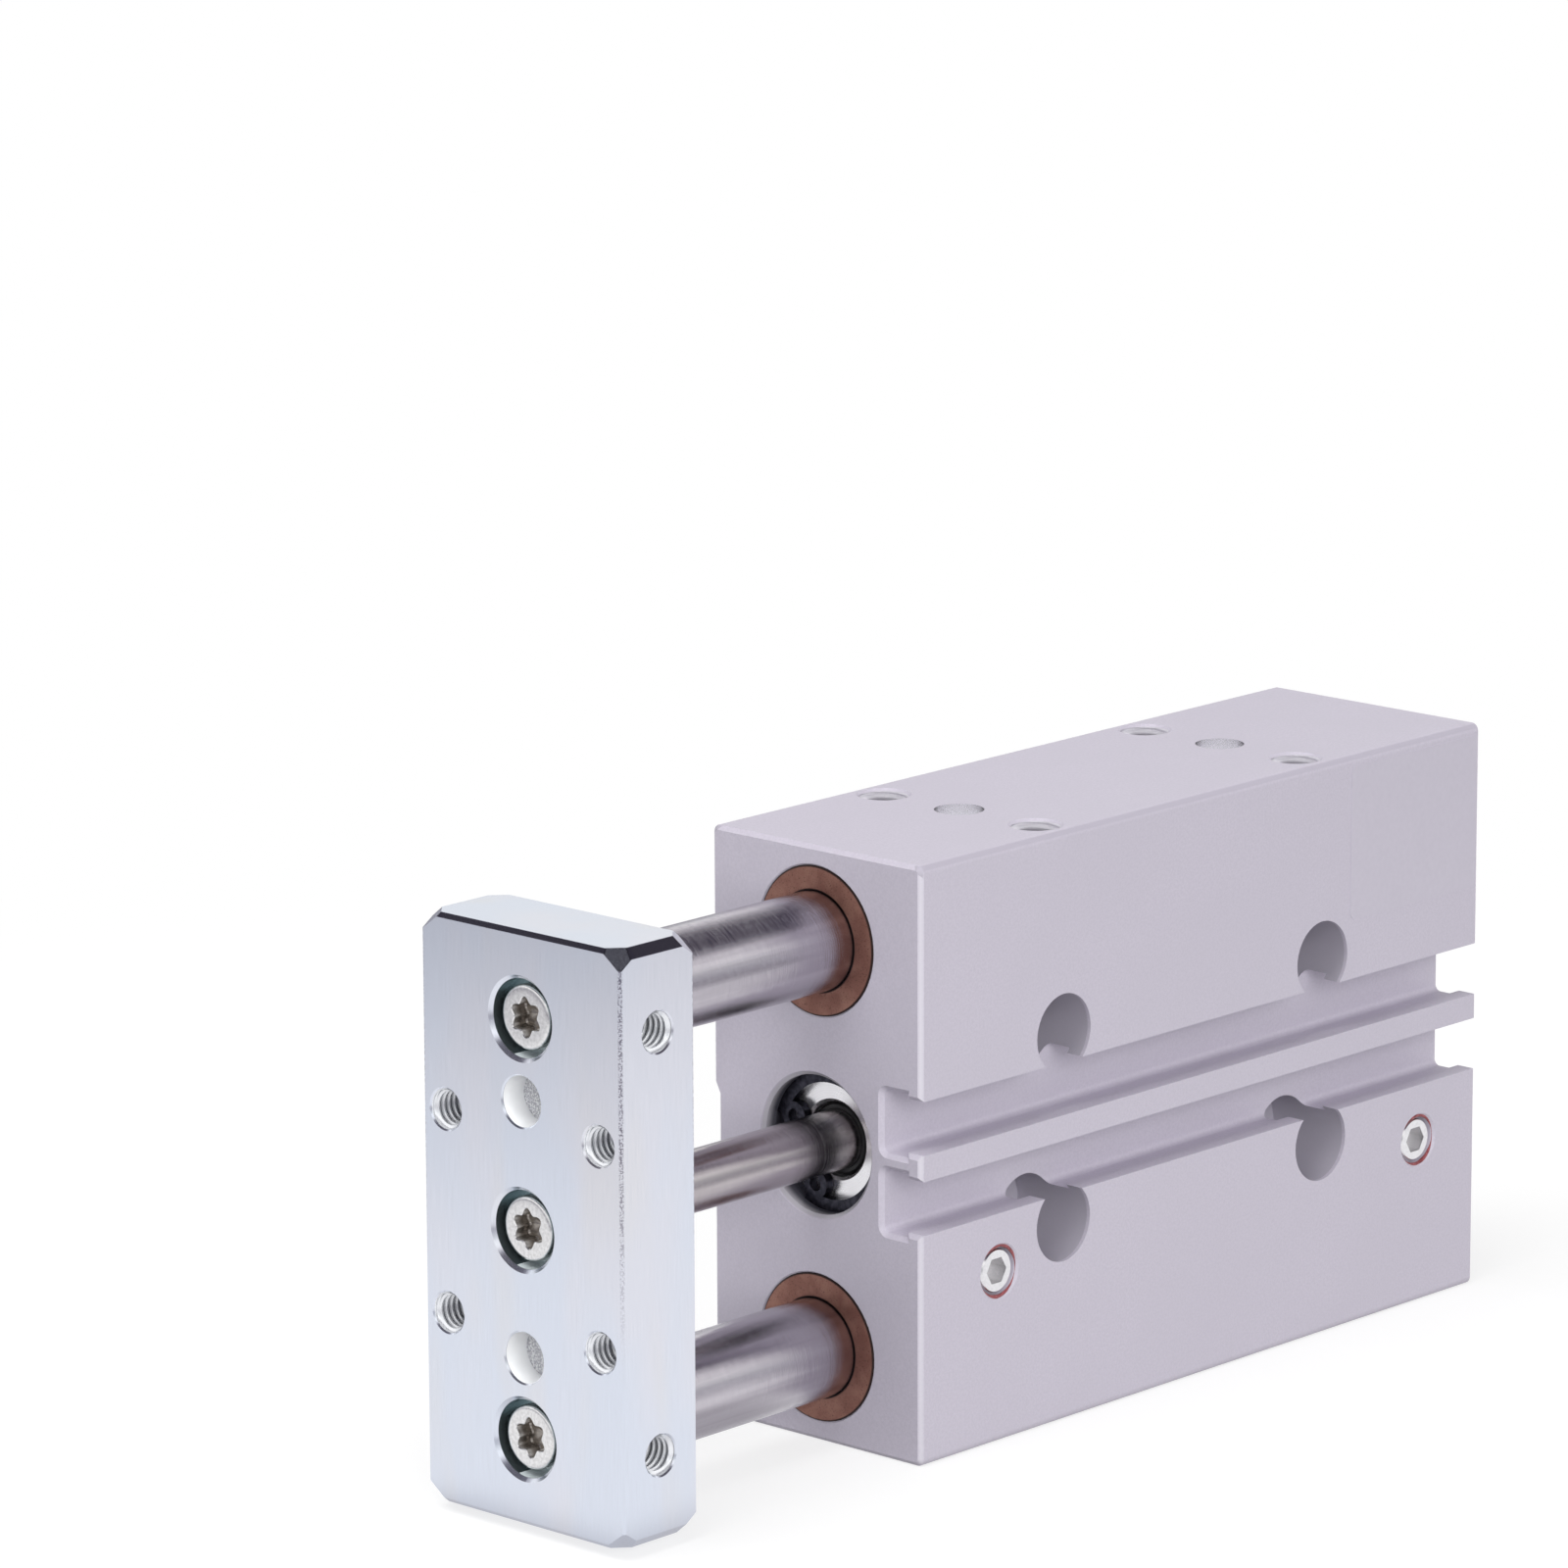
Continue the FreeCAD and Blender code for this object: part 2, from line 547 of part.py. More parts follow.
rear_cap = body("rear_cap", x=cap_rear, z=half_height)
cap_wall = sketch(rear_cap, "XZ_Plane", "cap_wall")
cap_ring_rear = S["rear_cap_length"] - S["ring_inset"] - S["ring_groove"]
cap_ring_front = S["rear_cap_length"] - S["ring_inset"]
dish_r, dish = S["cap_dish_dia"] / 2, S["cap_dish_depth"]
outline(cap_wall, [(dish, 0), (dish, dish_r), (0, dish_r + dish / 3), (0, gland_r - edge), (edge, gland_r),
                   (cap_ring_rear, gland_r), (cap_ring_rear, cap_r - S["ring_depth"]),
                   (cap_ring_front, cap_r - S["ring_depth"]), (cap_ring_front, gland_r),
                   (S["rear_cap_length"] - cut, gland_r), (S["rear_cap_length"], gland_r - cut),
                   (S["rear_cap_length"], 0)])
turned(rear_cap, cap_wall)
ring_seal("rear_ring", cap_rear + (cap_ring_front + cap_ring_rear) / 2)
circlip("rear_circlip", clip_rear + S["clip_play"] / 2, 90.0)

rear_cushion = body("rear_cushion", x=chamber_rear, z=half_height)
pad_wall = sketch(rear_cushion, "XZ_Plane", "pad_wall")
outline(pad_wall, [(0, 0), (0, cushion_r), (S["cushion_thickness"] - cut, cushion_r),
                   (S["cushion_thickness"], cushion_r - cut), (S["cushion_thickness"], 0)])
turned(rear_cushion, pad_wall)

# ---------------------------------------------------------------- piston

# Two turned halves clamp a ring magnet; each half carries a lip seal, and the front one a guide band.
skirt_r, floor_r = bore_r - S["piston_fit"], bore_r - S["seal_height"]
band_floor, spigot_r, hub_r = bore_r - S["band_height"], S["spigot_dia"] / 2, floor_r - S["hub_wall"]
nose = S["rod_bevel"]
seal_a, seal_b = S["piston_land"], S["piston_land"] + S["seal_groove"]
band_a, band_b = seal_b + S["inner_land"], seal_b + S["inner_land"] + S["band_width"]
hub_end = tail_start + S["inner_land"]
piston_head = body("piston_front", x=piston_front, z=half_height)
head_wall = sketch(piston_head, "XZ_Plane", "head_wall")
outline(head_wall, [(0, spigot_r), (0, skirt_r - nose), (-nose, skirt_r), (-seal_a, skirt_r), (-seal_a, floor_r),
                    (-seal_b, floor_r), (-seal_b, skirt_r), (-band_a, skirt_r), (-band_a, band_floor),
                    (-band_b, band_floor), (-band_b, skirt_r), (-hub_start, skirt_r), (-hub_start, hub_r),
                    (-hub_end, hub_r), (-hub_end, spigot_r)])
turned(piston_head, head_wall)

tail_seal_b = tail_start + S["inner_land"] + S["seal_groove"]
piston_tail = body("piston_rear", x=piston_front, z=half_height)
tail_wall = sketch(piston_tail, "XZ_Plane", "tail_wall")
nut_floor, nut_space = piston_length - S["nut_pocket"], floor_r - S["nut_wall"]
outline(tail_wall, [(-tail_start, hub_r), (-tail_start, skirt_r), (-hub_end, skirt_r), (-hub_end, floor_r),
                    (-tail_seal_b, floor_r), (-tail_seal_b, skirt_r), (nose - piston_length, skirt_r),
                    (-piston_length, skirt_r - nose), (-piston_length, nut_space),
                    (-nut_floor, nut_space), (-nut_floor, spigot_r), (-hub_end, spigot_r),
                    (-hub_end, hub_r)])
turned(piston_tail, tail_wall)

magnet = body("piston_magnet", x=piston_front - tail_start, z=half_height)
magnet_wall = sketch(magnet, "XZ_Plane", "magnet_wall")
outline(magnet_wall, [(0, hub_r), (S["magnet_width"], hub_r), (S["magnet_width"], skirt_r - S["magnet_dip"]),
                      (0, skirt_r - S["magnet_dip"])])
turned(magnet, magnet_wall)

band = body("piston_band", x=piston_front - band_b, z=half_height)
band_wall = sketch(band, "XZ_Plane", "band_wall")
outline(band_wall, [(0, band_floor), (S["band_width"], band_floor), (S["band_width"], bore_r - S["seal_fit"]),
                    (0, bore_r - S["seal_fit"])])
turned(band, band_wall)


def lip_seal(label, x, facing):
    """A U-section seal in its groove, with its open side towards the chamber that it seals."""
    seal = body(label, x=x, z=half_height)
    section = sketch(seal, "XZ_Plane", label + "_section")
    half = S["seal_groove"] / 2 - 0.05
    outline(section, [(-facing * half, floor_r), (facing * half, floor_r), (facing * half, floor_r + 0.5),
                      (facing * (half - 0.9), floor_r + 0.8), (facing * half, bore_r - 0.45),
                      (facing * (half - 0.1), bore_r - S["seal_fit"]), (-facing * 0.1, skirt_r - 0.15),
                      (-facing * half, skirt_r - 0.15)])
    turned(seal, section)


lip_seal("piston_seal_front", piston_front - (seal_a + seal_b) / 2, 1)
lip_seal("piston_seal_rear", piston_front - (hub_end + tail_seal_b) / 2, -1)

nut = body("piston_nut", x=piston_front - nut_floor, z=half_height)
nut_wall = sketch(nut, "XZ_Plane", "nut_wall")
nut_r = nut_space - S["loose_fit"]
outline(nut_wall, [(0, spigot_r), (0, nut_r), (cut - S["nut_height"], nut_r), (-S["nut_height"], nut_r - cut),
                   (-S["nut_height"], spigot_r)])
turned(nut, nut_wall)
slots_of_nut = sketch(nut, "YZ_Plane", "nut_slots", out=-S["nut_height"])
across = S["nut_slot"] / 2
outline(slots_of_nut, [(-nut_r - 1, -across), (nut_r + 1, -across), (nut_r + 1, across), (-nut_r - 1, across)])
pocket(nut, slots_of_nut, S["nut_slot_depth"], back=True)

# ---------------------------------------------------------------- rods

tap_r = S["screw_dia"] / 2
tap_depth = S["screw_length"] - (screw_seat - S["rod_seat"]) + S["tapping_extra"]
piston_rod = body("piston_rod", x=rod_front, z=half_height)
rod_wall = sketch(piston_rod, "XZ_Plane", "rod_wall")
spigot_end = piston_rod_length + piston_length - S["edge_break"] / 2
outline(rod_wall, [(0, tap_r), (0, rod_r - cut), (-cut, rod_r), (-piston_rod_length, rod_r),
                   (-piston_rod_length, spigot_r), (cut - spigot_end, spigot_r), (-spigot_end, spigot_r - cut),
                   (-spigot_end, 0), (-tap_depth - S["drill_point"], 0), (-tap_depth, tap_r)])
turned(piston_rod, rod_wall)

for level, side in (("upper", 1), ("lower", -1)):
    guide = body("guide_rod_" + level, x=rod_front, z=half_height + side * half_pitch)
    guide_wall = sketch(guide, "XZ_Plane", guide.Name + "_wall")
    tail = S["guide_tail_bevel"]
    outline(guide_wall, [(0, tap_r), (0, guide_r - nose), (-nose, guide_r), (tail - guide_rod_length, guide_r),
                         (-guide_rod_length, guide_r - tail), (-guide_rod_length, 0),
                         (-tap_depth - S["drill_point"], 0), (-tap_depth, tap_r)])
    turned(guide, guide_wall)

# ---------------------------------------------------------------- yoke plate

# A flat plate that ties the three rods, with every edge bevelled and each of its eight corners cut to a small
# facet; its local origin is the middle of its back face.
plate = body("yoke_plate", x=plate_back, z=half_height)
plate_y, plate_z = S["plate_width"] / 2, S["plate_height"] / 2
face = sketch(plate, "YZ_Plane", "plate_face")
outline(face, [(-plate_y, -plate_z), (plate_y, -plate_z), (plate_y, plate_z), (-plate_y, plate_z)])
pad(plate, face, S["plate_thickness"])
chamfer(plate, lambda e: straight_along(e, 0), S["plate_long_bevel"])
along, across, rise = S["corner_cut_along"], S["corner_cut_across"], S["corner_cut_up"]
lean, reach = slope(across, rise), across * rise / diagonal(across, rise)
for end, place, side in (("front", S["plate_thickness"], 1), ("back", 0.0, -1)):
    for edge, level in (("upper", 1), ("lower", -1)):
        corner = sketch(plate, "XY_Plane", "corner_%s_%s" % (end, edge), across=place, up=plate_y,
                        out=plate_z * level, tilt=lean * level)
        outline(corner, [(-2 * side * along, reach), (side * along, -2 * reach), (side * along, reach)])
        cut = pocket(plate, corner, 2 * (across + rise), both=True)
        mirrored(plate, [cut], "XZ_Plane")
chamfer(plate, lambda e: straight_along(e, 1), S["plate_end_bevel"])
chamfer(plate, lambda e: straight_along(e, 2), S["plate_side_bevel"])

thickness, pocket_r = S["plate_thickness"], S["head_dia"] / 2 + S["head_gap"]


def rod_joint(name, radius, up):
    """A seat for a rod in the back, a clearance hole, and a bevelled counterbore for the screw head."""
    profile = sketch(plate, "XZ_Plane", name, up=up)
    outline(profile, [(-1, 0), (-1, radius + S["seat_fit"]), (S["rod_seat"], radius + S["seat_fit"]),
                      (S["rod_seat"], tap_r + S["loose_fit"]), (screw_seat, tap_r + S["loose_fit"]),
                      (screw_seat, pocket_r), (thickness - S["head_bevel"], pocket_r),
                      (thickness + 1, pocket_r + S["head_bevel"] + 1), (thickness + 1, 0)])
    return bored(plate, profile)


rod_joint("piston_joint", rod_r, 0.0)
mirrored(plate, [rod_joint("guide_joint", guide_r, half_pitch)], "XY_Plane")

pattern = sketch(plate, "YZ_Plane", "plate_threads")
for side in (1, -1):
    for level in (1, -1):
        circle(pattern, side * S["pattern_pitch"] / 2, level * S["pattern_pitch"] / 2, S["plate_thread_dia"] / 2)
pocket(plate, pattern, thickness * 2 + 2, both=True)
pins = sketch(plate, "YZ_Plane", "plate_pins", out=thickness)
for level in (1, -1):
    circle(pins, 0.0, level * S["pin_pitch"] / 2, S["pin_dia"] / 2)
pocket(plate, pins, S["pin_depth"])
side_threads = sketch(plate, "XZ_Plane", "plate_side_threads", out=-plate_y)
for level in (1, -1):
    circle(side_threads, thickness / 2, level * half_pitch, S["plate_thread_dia"] / 2)
mirrored(plate, [pocket(plate, side_threads, S["side_thread_depth"], back=True)], "XZ_Plane")
plate_mouth, pin_mouth = S["plate_thread_dia"] / 2, S["pin_dia"] / 2
chamfer(plate, lambda e: mouth_at(e, 0, thickness, plate_mouth) or mouth_at(e, 1, plate_y, plate_mouth)
        or mouth_at(e, 0, thickness, pin_mouth), S["mouth_break"])

# ---------------------------------------------------------------- fasteners

# Three low-head screws with six-lobed sockets hold the rods; the group runs along the plate's height.
screws = body("yoke_screws", x=plate_back + screw_seat, z=half_height - half_pitch)
shank = sketch(screws, "XZ_Plane", "screw_wall")
head_r, head_h = S["head_dia"] / 2, S["head_height"]
rim, tip = S["head_bevel"], S["screw_tip_bevel"]
outline(shank, [(head_h, 0), (head_h, head_r - rim), (head_h - rim, head_r), (0, head_r), (0, tap_r),
                (tip - S["screw_length"], tap_r), (-S["screw_length"], tap_r - tip), (-S["screw_length"], 0)])
turned(screws, shank)
core = sketch(screws, "YZ_Plane", "socket_core", out=head_h)
circle(core, 0.0, 0.0, S["lobe_core"] / 2)
pocket(screws, core, S["lobe_depth"])
lobe = sketch(screws, "YZ_Plane", "socket_lobe", out=head_h)
circle(lobe, 0.0, S["lobe_circle"], S["lobe_dia"] / 2)
around(screws, [pocket(screws, lobe, S["lobe_depth"])], 6)
repeated(screws, "Z_Axis", 2 * half_pitch, 3)

# Threaded plugs with a hexagon socket close the two ports of the slotted face.
plugs = body("port_plugs", x=port_x[1], y=half_width - S["plug_inset"], z=half_height - S["port_drop"])
plug_wall = sketch(plugs, "XY_Plane", "plug_wall")
plug_r = S["port_dia"] / 2 - S["seat_fit"]
rim, tip = S["plug_face_bevel"], S["plug_tip_bevel"]
outline(plug_wall, [(0, 0), (plug_r - rim, 0), (plug_r, -rim), (plug_r, tip - S["plug_length"]),
                    (plug_r - tip, -S["plug_length"]), (0, -S["plug_length"])])
turned(plugs, plug_wall, "V_Axis")
socket = sketch(plugs, "XZ_Plane", "plug_socket")
flat = S["plug_hex"] / 2
point = flat * (2 / math.sqrt(3))
outline(socket, [(point, 0), (point / 2, flat), (-point / 2, flat), (-point, 0), (-point / 2, -flat),
                 (point / 2, -flat)])
pocket(plugs, socket, S["plug_hex_depth"], back=True)
repeated(plugs, "X_Axis", port_x[0] - port_x[1], 2)

# ---------------------------------------------------------------- check and write

doc.recompute()
bodies = [item for item in doc.Objects if item.TypeId == "PartDesign::Body"]
faults = ["%s %s" % (item.Name, item.State) for item in doc.Objects
          if "Invalid" in item.State or "Error" in item.State]
faults += [item.Label + " has no valid shape" for item in bodies if item.Shape.isNull() or not item.Shape.isValid()]
if faults:
    raise ValueError("; ".join(faults))
os.makedirs("parts", exist_ok=True)
for item in bodies:
    item.Shape.exportStep("parts/%s.step" % item.Label)
print(len(bodies), "nodes written")
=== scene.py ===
import math

import bmesh
import bpy
import numpy as np
from mathutils import Matrix, Vector


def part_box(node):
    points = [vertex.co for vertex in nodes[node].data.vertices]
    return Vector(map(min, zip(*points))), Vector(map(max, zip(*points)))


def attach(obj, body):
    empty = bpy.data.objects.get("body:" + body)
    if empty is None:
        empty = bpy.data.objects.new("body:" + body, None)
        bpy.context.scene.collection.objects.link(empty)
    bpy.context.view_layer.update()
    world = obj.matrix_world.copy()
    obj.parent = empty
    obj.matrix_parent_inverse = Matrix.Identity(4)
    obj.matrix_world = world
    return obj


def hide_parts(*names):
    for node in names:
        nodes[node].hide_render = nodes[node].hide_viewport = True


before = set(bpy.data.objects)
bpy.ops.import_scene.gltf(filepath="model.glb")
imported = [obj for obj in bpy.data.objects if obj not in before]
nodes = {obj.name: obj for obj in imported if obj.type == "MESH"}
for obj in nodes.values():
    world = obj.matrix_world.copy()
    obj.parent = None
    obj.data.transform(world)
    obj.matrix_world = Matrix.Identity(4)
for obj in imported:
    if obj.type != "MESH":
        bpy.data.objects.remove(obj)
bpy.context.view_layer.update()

# ---------------------------------------------------------------- housing
# An extruded aluminium block, sawn to length and machined, then bead-blasted and clear anodised.
# Blasting leaves a fine even grain, and the anodising a cool, faintly lilac silver.

MM = 0.001


class Term:
    """One output of a shader node. Arithmetic on it adds the Math nodes that work it out."""

    def __init__(self, finish, socket):
        self.finish, self.socket = finish, socket

    def math(self, operation, *terms):
        """The Math node of this operation, on the terms or numbers given."""
        return self.finish.node("Math", {"operation": operation}, dict(enumerate(terms)))

    def __add__(self, other):
        return self.math("ADD", self, other)

    __radd__ = __add__

    def __sub__(self, other):
        return self.math("SUBTRACT", self, other)

    def __rsub__(self, other):
        return self.math("SUBTRACT", other, self)

    def __mul__(self, other):
        return self.math("MULTIPLY", self, other)

    __rmul__ = __mul__

    def __truediv__(self, other):
        return self.math("DIVIDE", self, other)

    def __pow__(self, other):
        return self.math("POWER", self, other)

    def __abs__(self):
        return self.math("ABSOLUTE", self)

    def most(self, other):
        return self.math("MAXIMUM", self, other)

    def least(self, other):
        return self.math("MINIMUM", self, other)

    def __gt__(self, other):
        return self.math("GREATER_THAN", self, other)

    def __lt__(self, other):
        return self.math("LESS_THAN", self, other)

    def wrap(self, half):
        """The same length brought between -half and half, repeating beyond them."""
        return self.math("WRAP", self, half, -half)

    def over(self, low, high):
        """0 below low, 1 above high and a smooth rise between them."""
        return self.finish.node("MapRange", {"interpolation_type": "SMOOTHSTEP"}, {0: self, 1: low, 2: high})


def apart(first, second):
    """The distance whose two square parts are given: the root of the sum of their squares."""
    return (first ** 2.0 + second ** 2.0) ** 0.5


class Finish:
    """A material, or the world, whose nodes are written as expressions."""

    def __init__(self, name, owner=None):
        self.material = owner or bpy.data.materials.new(name)
        self.material.use_nodes = True
        self.tree = self.material.node_tree
        self.shader = self.tree.nodes.get("Principled BSDF")

    def node(self, kind, settings, inputs, output=0):
        """A node of this kind: settings first, then the values or links of its sockets."""
        item = self.tree.nodes.new("ShaderNode" + kind)
        for key, value in settings.items():
            if key == "stops":
                ramp = item.color_ramp
                ramp.elements[1].position, ramp.elements[1].color = value[-1]
                ramp.elements[0].position, ramp.elements[0].color = value[0]
                for place, colour in value[1:-1]:
                    ramp.elements.new(place).color = colour
            else:
                setattr(item, key, value)
        for key, value in inputs.items():
            self.feed(item.inputs[key], value)
        return Term(self, item.outputs[output])

    def feed(self, socket, value):
        if isinstance(value, Term):
            self.tree.links.new(value.socket, socket)
        elif isinstance(value, tuple) and len(value) == 3 and socket.type == "RGBA":
            socket.default_value = (*value, 1.0)
        else:
            socket.default_value = value

    def place(self, stretch=(1.0, 1.0, 1.0)):
        """The point on the object in metres, stretched along each axis."""
        point = self.node("TexCoord", {}, {}, 3)
        return self.node("Mapping", {}, {0: point, 3: stretch})

    def axes(self, stretch=(1.0, 1.0, 1.0)):
        point = self.place(stretch)
        split = self.tree.nodes.new("ShaderNodeSeparateXYZ")
        self.feed(split.inputs[0], point)
        return [Term(self, out) for out in split.outputs]

    def noise(self, size, detail=2.0, stretch=(1.0, 1.0, 1.0), roughness=0.5):
        """Cloudy noise from 0 to 1, whose blotches are about size across."""
        return self.node("TexNoise", {}, {"Vector": self.place(stretch), "Scale": 1 / size, "Detail": detail,
                                          "Roughness": roughness})

    def mix(self, mask, first, second):
        """The first colour where the mask is 0, the second where it is 1."""
        return self.node("Mix", {"data_type": "RGBA"}, {0: mask, 6: first, 7: second}, 2)

    def near_faces(self, low, high, width):
        """For each axis, 1 within width of the two faces of the box that it pierces, else 0."""
        near = []
        for term, first, last in zip(self.axes(), low, high):
            middle, half = (first + last) / 2, (last - first) / 2
            near.append(abs(term - middle).over(half - width, half - width * 0.4))
        return near

    def relief(self, height, depth, strength=1.0, under=None):
        """A bump whose height of 1 stands depth above a height of 0."""
        inputs = {"Height": height, "Distance": depth, "Strength": strength}
        if under is not None:
            inputs["Normal"] = under
        return self.node("Bump", {}, inputs)

    def surface(self, **inputs):
        """Sets or links the shader's sockets, whose spaces are written as underscores."""
        for key, value in inputs.items():
            self.feed(self.shader.inputs[key.replace("_", " ")], value)
        return self.material


def finish_nodes(material, *names):
    """CAD nodes keep their shape and take a finished material."""
    for name in names:
        for holder in nodes[name].material_slots:
            holder.material = material


low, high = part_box("housing")
mid_height = (low.z + high.z) / 2
hole_rows = [high.x - 21 * MM, high.x - 61 * MM]
rows_middle, rows_half = (hole_rows[0] + hole_rows[1]) / 2, (hole_rows[0] - hole_rows[1]) / 2
counterbore_rise, counterbore_radius = 9.6 * MM, 4.04 * MM
recess_radius, recess_depth = 2.56 * MM, 1.6 * MM
edge_cut, wear_width = 1.2 * MM, 0.55 * MM
pocket_radius, pocket_depth = 7.6 * MM, 4 * MM


def from_rows(x):
    """The distance along X to the nearer of the two rows of holes."""
    return abs(abs(x - rows_middle) - rows_half)


anodised = Finish("anodised")
grain = anodised.noise(0.26 * MM, 3.0, roughness=0.6)
cloud = anodised.noise(9 * MM, 2.0)
silver = anodised.mix(grain.over(0.25, 0.75), (0.590, 0.553, 0.640), (0.655, 0.615, 0.705))
silver = anodised.mix(cloud.over(0.3, 0.7) * 0.35, silver, (0.600, 0.566, 0.648))
near_end, near_side, _ = anodised.near_faces(low, high, wear_width)
silver = anodised.mix(near_end * near_side * (0.55 + 0.45 * cloud), silver, (0.76, 0.735, 0.80))
x, y, z = anodised.axes()
# The long edges, the counterbores and the pocket of the gland are toned down as shade, not as another metal.
from_side, from_top = high.y - abs(y), high.z - z
rounded = from_side.least(from_top).over(0.0, 0.12 * MM) * (from_side + from_top < edge_cut)
silver = anodised.mix(rounded * 0.8, silver, (0.47, 0.44, 0.515))
crossing = ((apart(from_rows(x), abs(z - mid_height) - counterbore_rise) < counterbore_radius)
            * (y < high.y - 0.4 * MM) * (y > low.y + 0.1 * MM))
silver = anodised.mix(crossing * 0.75, silver, (0.44, 0.42, 0.48))
recess = ((apart(from_rows(x), y) < recess_radius) * (z > high.z - recess_depth) * (z < high.z - 0.03 * MM))
silver = anodised.mix(recess, silver, (0.95, 0.94, 0.97))
sunk = (high.x - x).over(0.3 * MM, 1.5 * MM)
mouth = (apart(y, z - mid_height) < pocket_radius) * (x > high.x - pocket_depth) * (x < high.x - 0.1 * MM)
silver = anodised.mix(mouth, silver, (0.60, 0.58, 0.63))
silver = anodised.mix(mouth * sunk, silver, (0.08, 0.078, 0.10))
cut_metal = recess.most(mouth * 0.35)
anodised.surface(Base_Color=silver, Metallic=0.15 + 0.8 * cut_metal,
                 Roughness=(0.47 + 0.12 * grain) * (1.0 - 0.6 * cut_metal),
                 Normal=anodised.relief(grain, 0.012 * MM, 0.8))
finish_nodes(anodised.material, "housing")

# ---------------------------------------------------------------- blank label
# A thin silver film label at the rear top of the slotted face, left without print.
# It is die-cut with round corners and pressed on by hand.


def add_piece(name, points, faces, material, body):
    """A finished piece from arrays of points and faces, at its place in the assembly."""
    mesh = bpy.data.meshes.new(name)
    mesh.from_pydata(points, [], faces)
    mesh.validate()
    mesh.update()
    mesh.materials.append(material)
    piece = bpy.data.objects.new(name, mesh)
    bpy.context.scene.collection.objects.link(piece)
    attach(piece, body)
    return piece


def rounded_outline(width, height, radius, steps):
    """Points round a rectangle with round corners: each corner's centre plus radius times (cos a, sin a)."""
    angle = np.linspace(0, math.pi / 2, steps)
    quarter = np.arange(4)[:, None]
    turn = angle[None, :] + quarter * math.pi / 2
    side = np.sign(np.cos(turn.mean(axis=1)))[:, None], np.sign(np.sin(turn.mean(axis=1)))[:, None]
    x = side[0] * (width / 2 - radius) + radius * np.cos(turn)
    y = side[1] * (height / 2 - radius) + radius * np.sin(turn)
    return x.ravel(), y.ravel()


label_length, label_height, label_film = 20.4 * MM, 16.0 * MM, 0.05 * MM
across, along = rounded_outline(label_length, label_height, 0.8 * MM, 8)
count = len(across)
label_x, label_z = low.x + 0.7 * MM + label_length / 2, high.z - 1.1 * MM - label_height / 2
rings = [np.column_stack([label_x + across, np.full(count, high.y + depth), label_z + along])
         for depth in (-0.01 * MM, label_film)]
loop = np.arange(count)
sides = np.column_stack([loop, (loop + 1) % count, (loop + 1) % count + count, loop + count])
faces = [tuple(loop), tuple(loop[::-1] + count)] + [tuple(side[::-1]) for side in sides.tolist()]
film = Finish("label_film")
film_grain = film.noise(0.5 * MM, 2.0)
film.surface(Base_Color=film.mix(film_grain, (0.595, 0.560, 0.645), (0.645, 0.610, 0.695)), Metallic=0.15,
             Roughness=0.42 + 0.08 * film_grain, Normal=film.relief(film_grain, 0.008 * MM, 0.6))
add_piece("blank_label", np.vstack(rings), faces, film.material, "base")

# ---------------------------------------------------------------- threads of the housing
# M5 threads tapped into the top and the two open air ports: right-handed, 0.8 mm pitch.
# Each is cut in the bare block before anodising, so its crests are a little brighter. Deeper in the top holes
# and at their roots the threads are painted darker: painted shade.


def thread_sleeve(mouth, inward, radius, pitch, depth, lead):
    """An internal thread as a closed sleeve: points and faces.

    Column angle a runs round the hole and row s along it. A point lies at depth s + pitch * a / 2 pi, held
    between the mouth and the end, and at radius minus ridge, where ridge rises and falls once per pitch of s
    and fades to nothing over the lead at both ends. One strip of the full radius closes the sleeve outside.
    """
    per_pitch, columns = 8, 40
    inward = np.array(inward, float)
    side = np.cross(inward, (0.3, 0.5, 0.8))
    side /= np.linalg.norm(side)
    third = np.cross(inward, side)
    rows = int(math.ceil(depth / pitch + 1)) * per_pitch + 1
    row, column = np.meshgrid(np.arange(rows), np.arange(columns), indexing="ij")
    start = (row / per_pitch - 1) * pitch
    angle = 2 * math.pi * column / columns
    down = np.clip(start + pitch * column / columns, 0, depth)
    wave = np.abs(2 * np.mod(row / per_pitch, 1.0) - 1)
    height = 0.54 * pitch * np.clip((0.875 - wave) / 0.625, 0, 1)
    fade = np.clip(down / lead, 0, 1) * np.clip((depth - down) / lead, 0, 1)
    reach = radius - 0.004 * MM - height * fade
    points = (np.array(mouth)[None, None] + inward * down[..., None] + side * (reach * np.cos(angle))[..., None]
              + third * (reach * np.sin(angle))[..., None])
    next_row = np.where(column == columns - 1, np.minimum(row + per_pitch, rows - 1), row)
    next_column = (column + 1) % columns
    here = row * columns + column
    there = next_row * columns + next_column
    above = np.minimum(next_row + 1, rows - 1) * columns + next_column
    wall = np.stack([here, there, above, here + columns], axis=-1)[:-1].reshape(-1, 4)
    ring = np.arange(columns)
    ring_next = (ring + 1) % columns
    end = (rows - 1) * columns
    outside = np.column_stack([ring, ring + end, ring_next + end, ring_next])
    return points.reshape(-1, 3), np.vstack([wall, outside])


def add_threads(name, places, inward, radius, pitch, depth, material, body):
    """Threads of one size as one piece: the sleeves are set in their holes and their doubles merged."""
    clouds, faces, first = [], [], 0
    for mouth in places:
        cloud_points, quads = thread_sleeve(mouth, inward, radius, pitch, depth, 0.6 * pitch)
        clouds.append(cloud_points)
        faces.append(quads + first)
        first += len(cloud_points)
    piece = add_piece(name, np.vstack(clouds), np.vstack(faces).tolist(), material, body)
    tidy_mesh(piece.data, 35)
    return piece


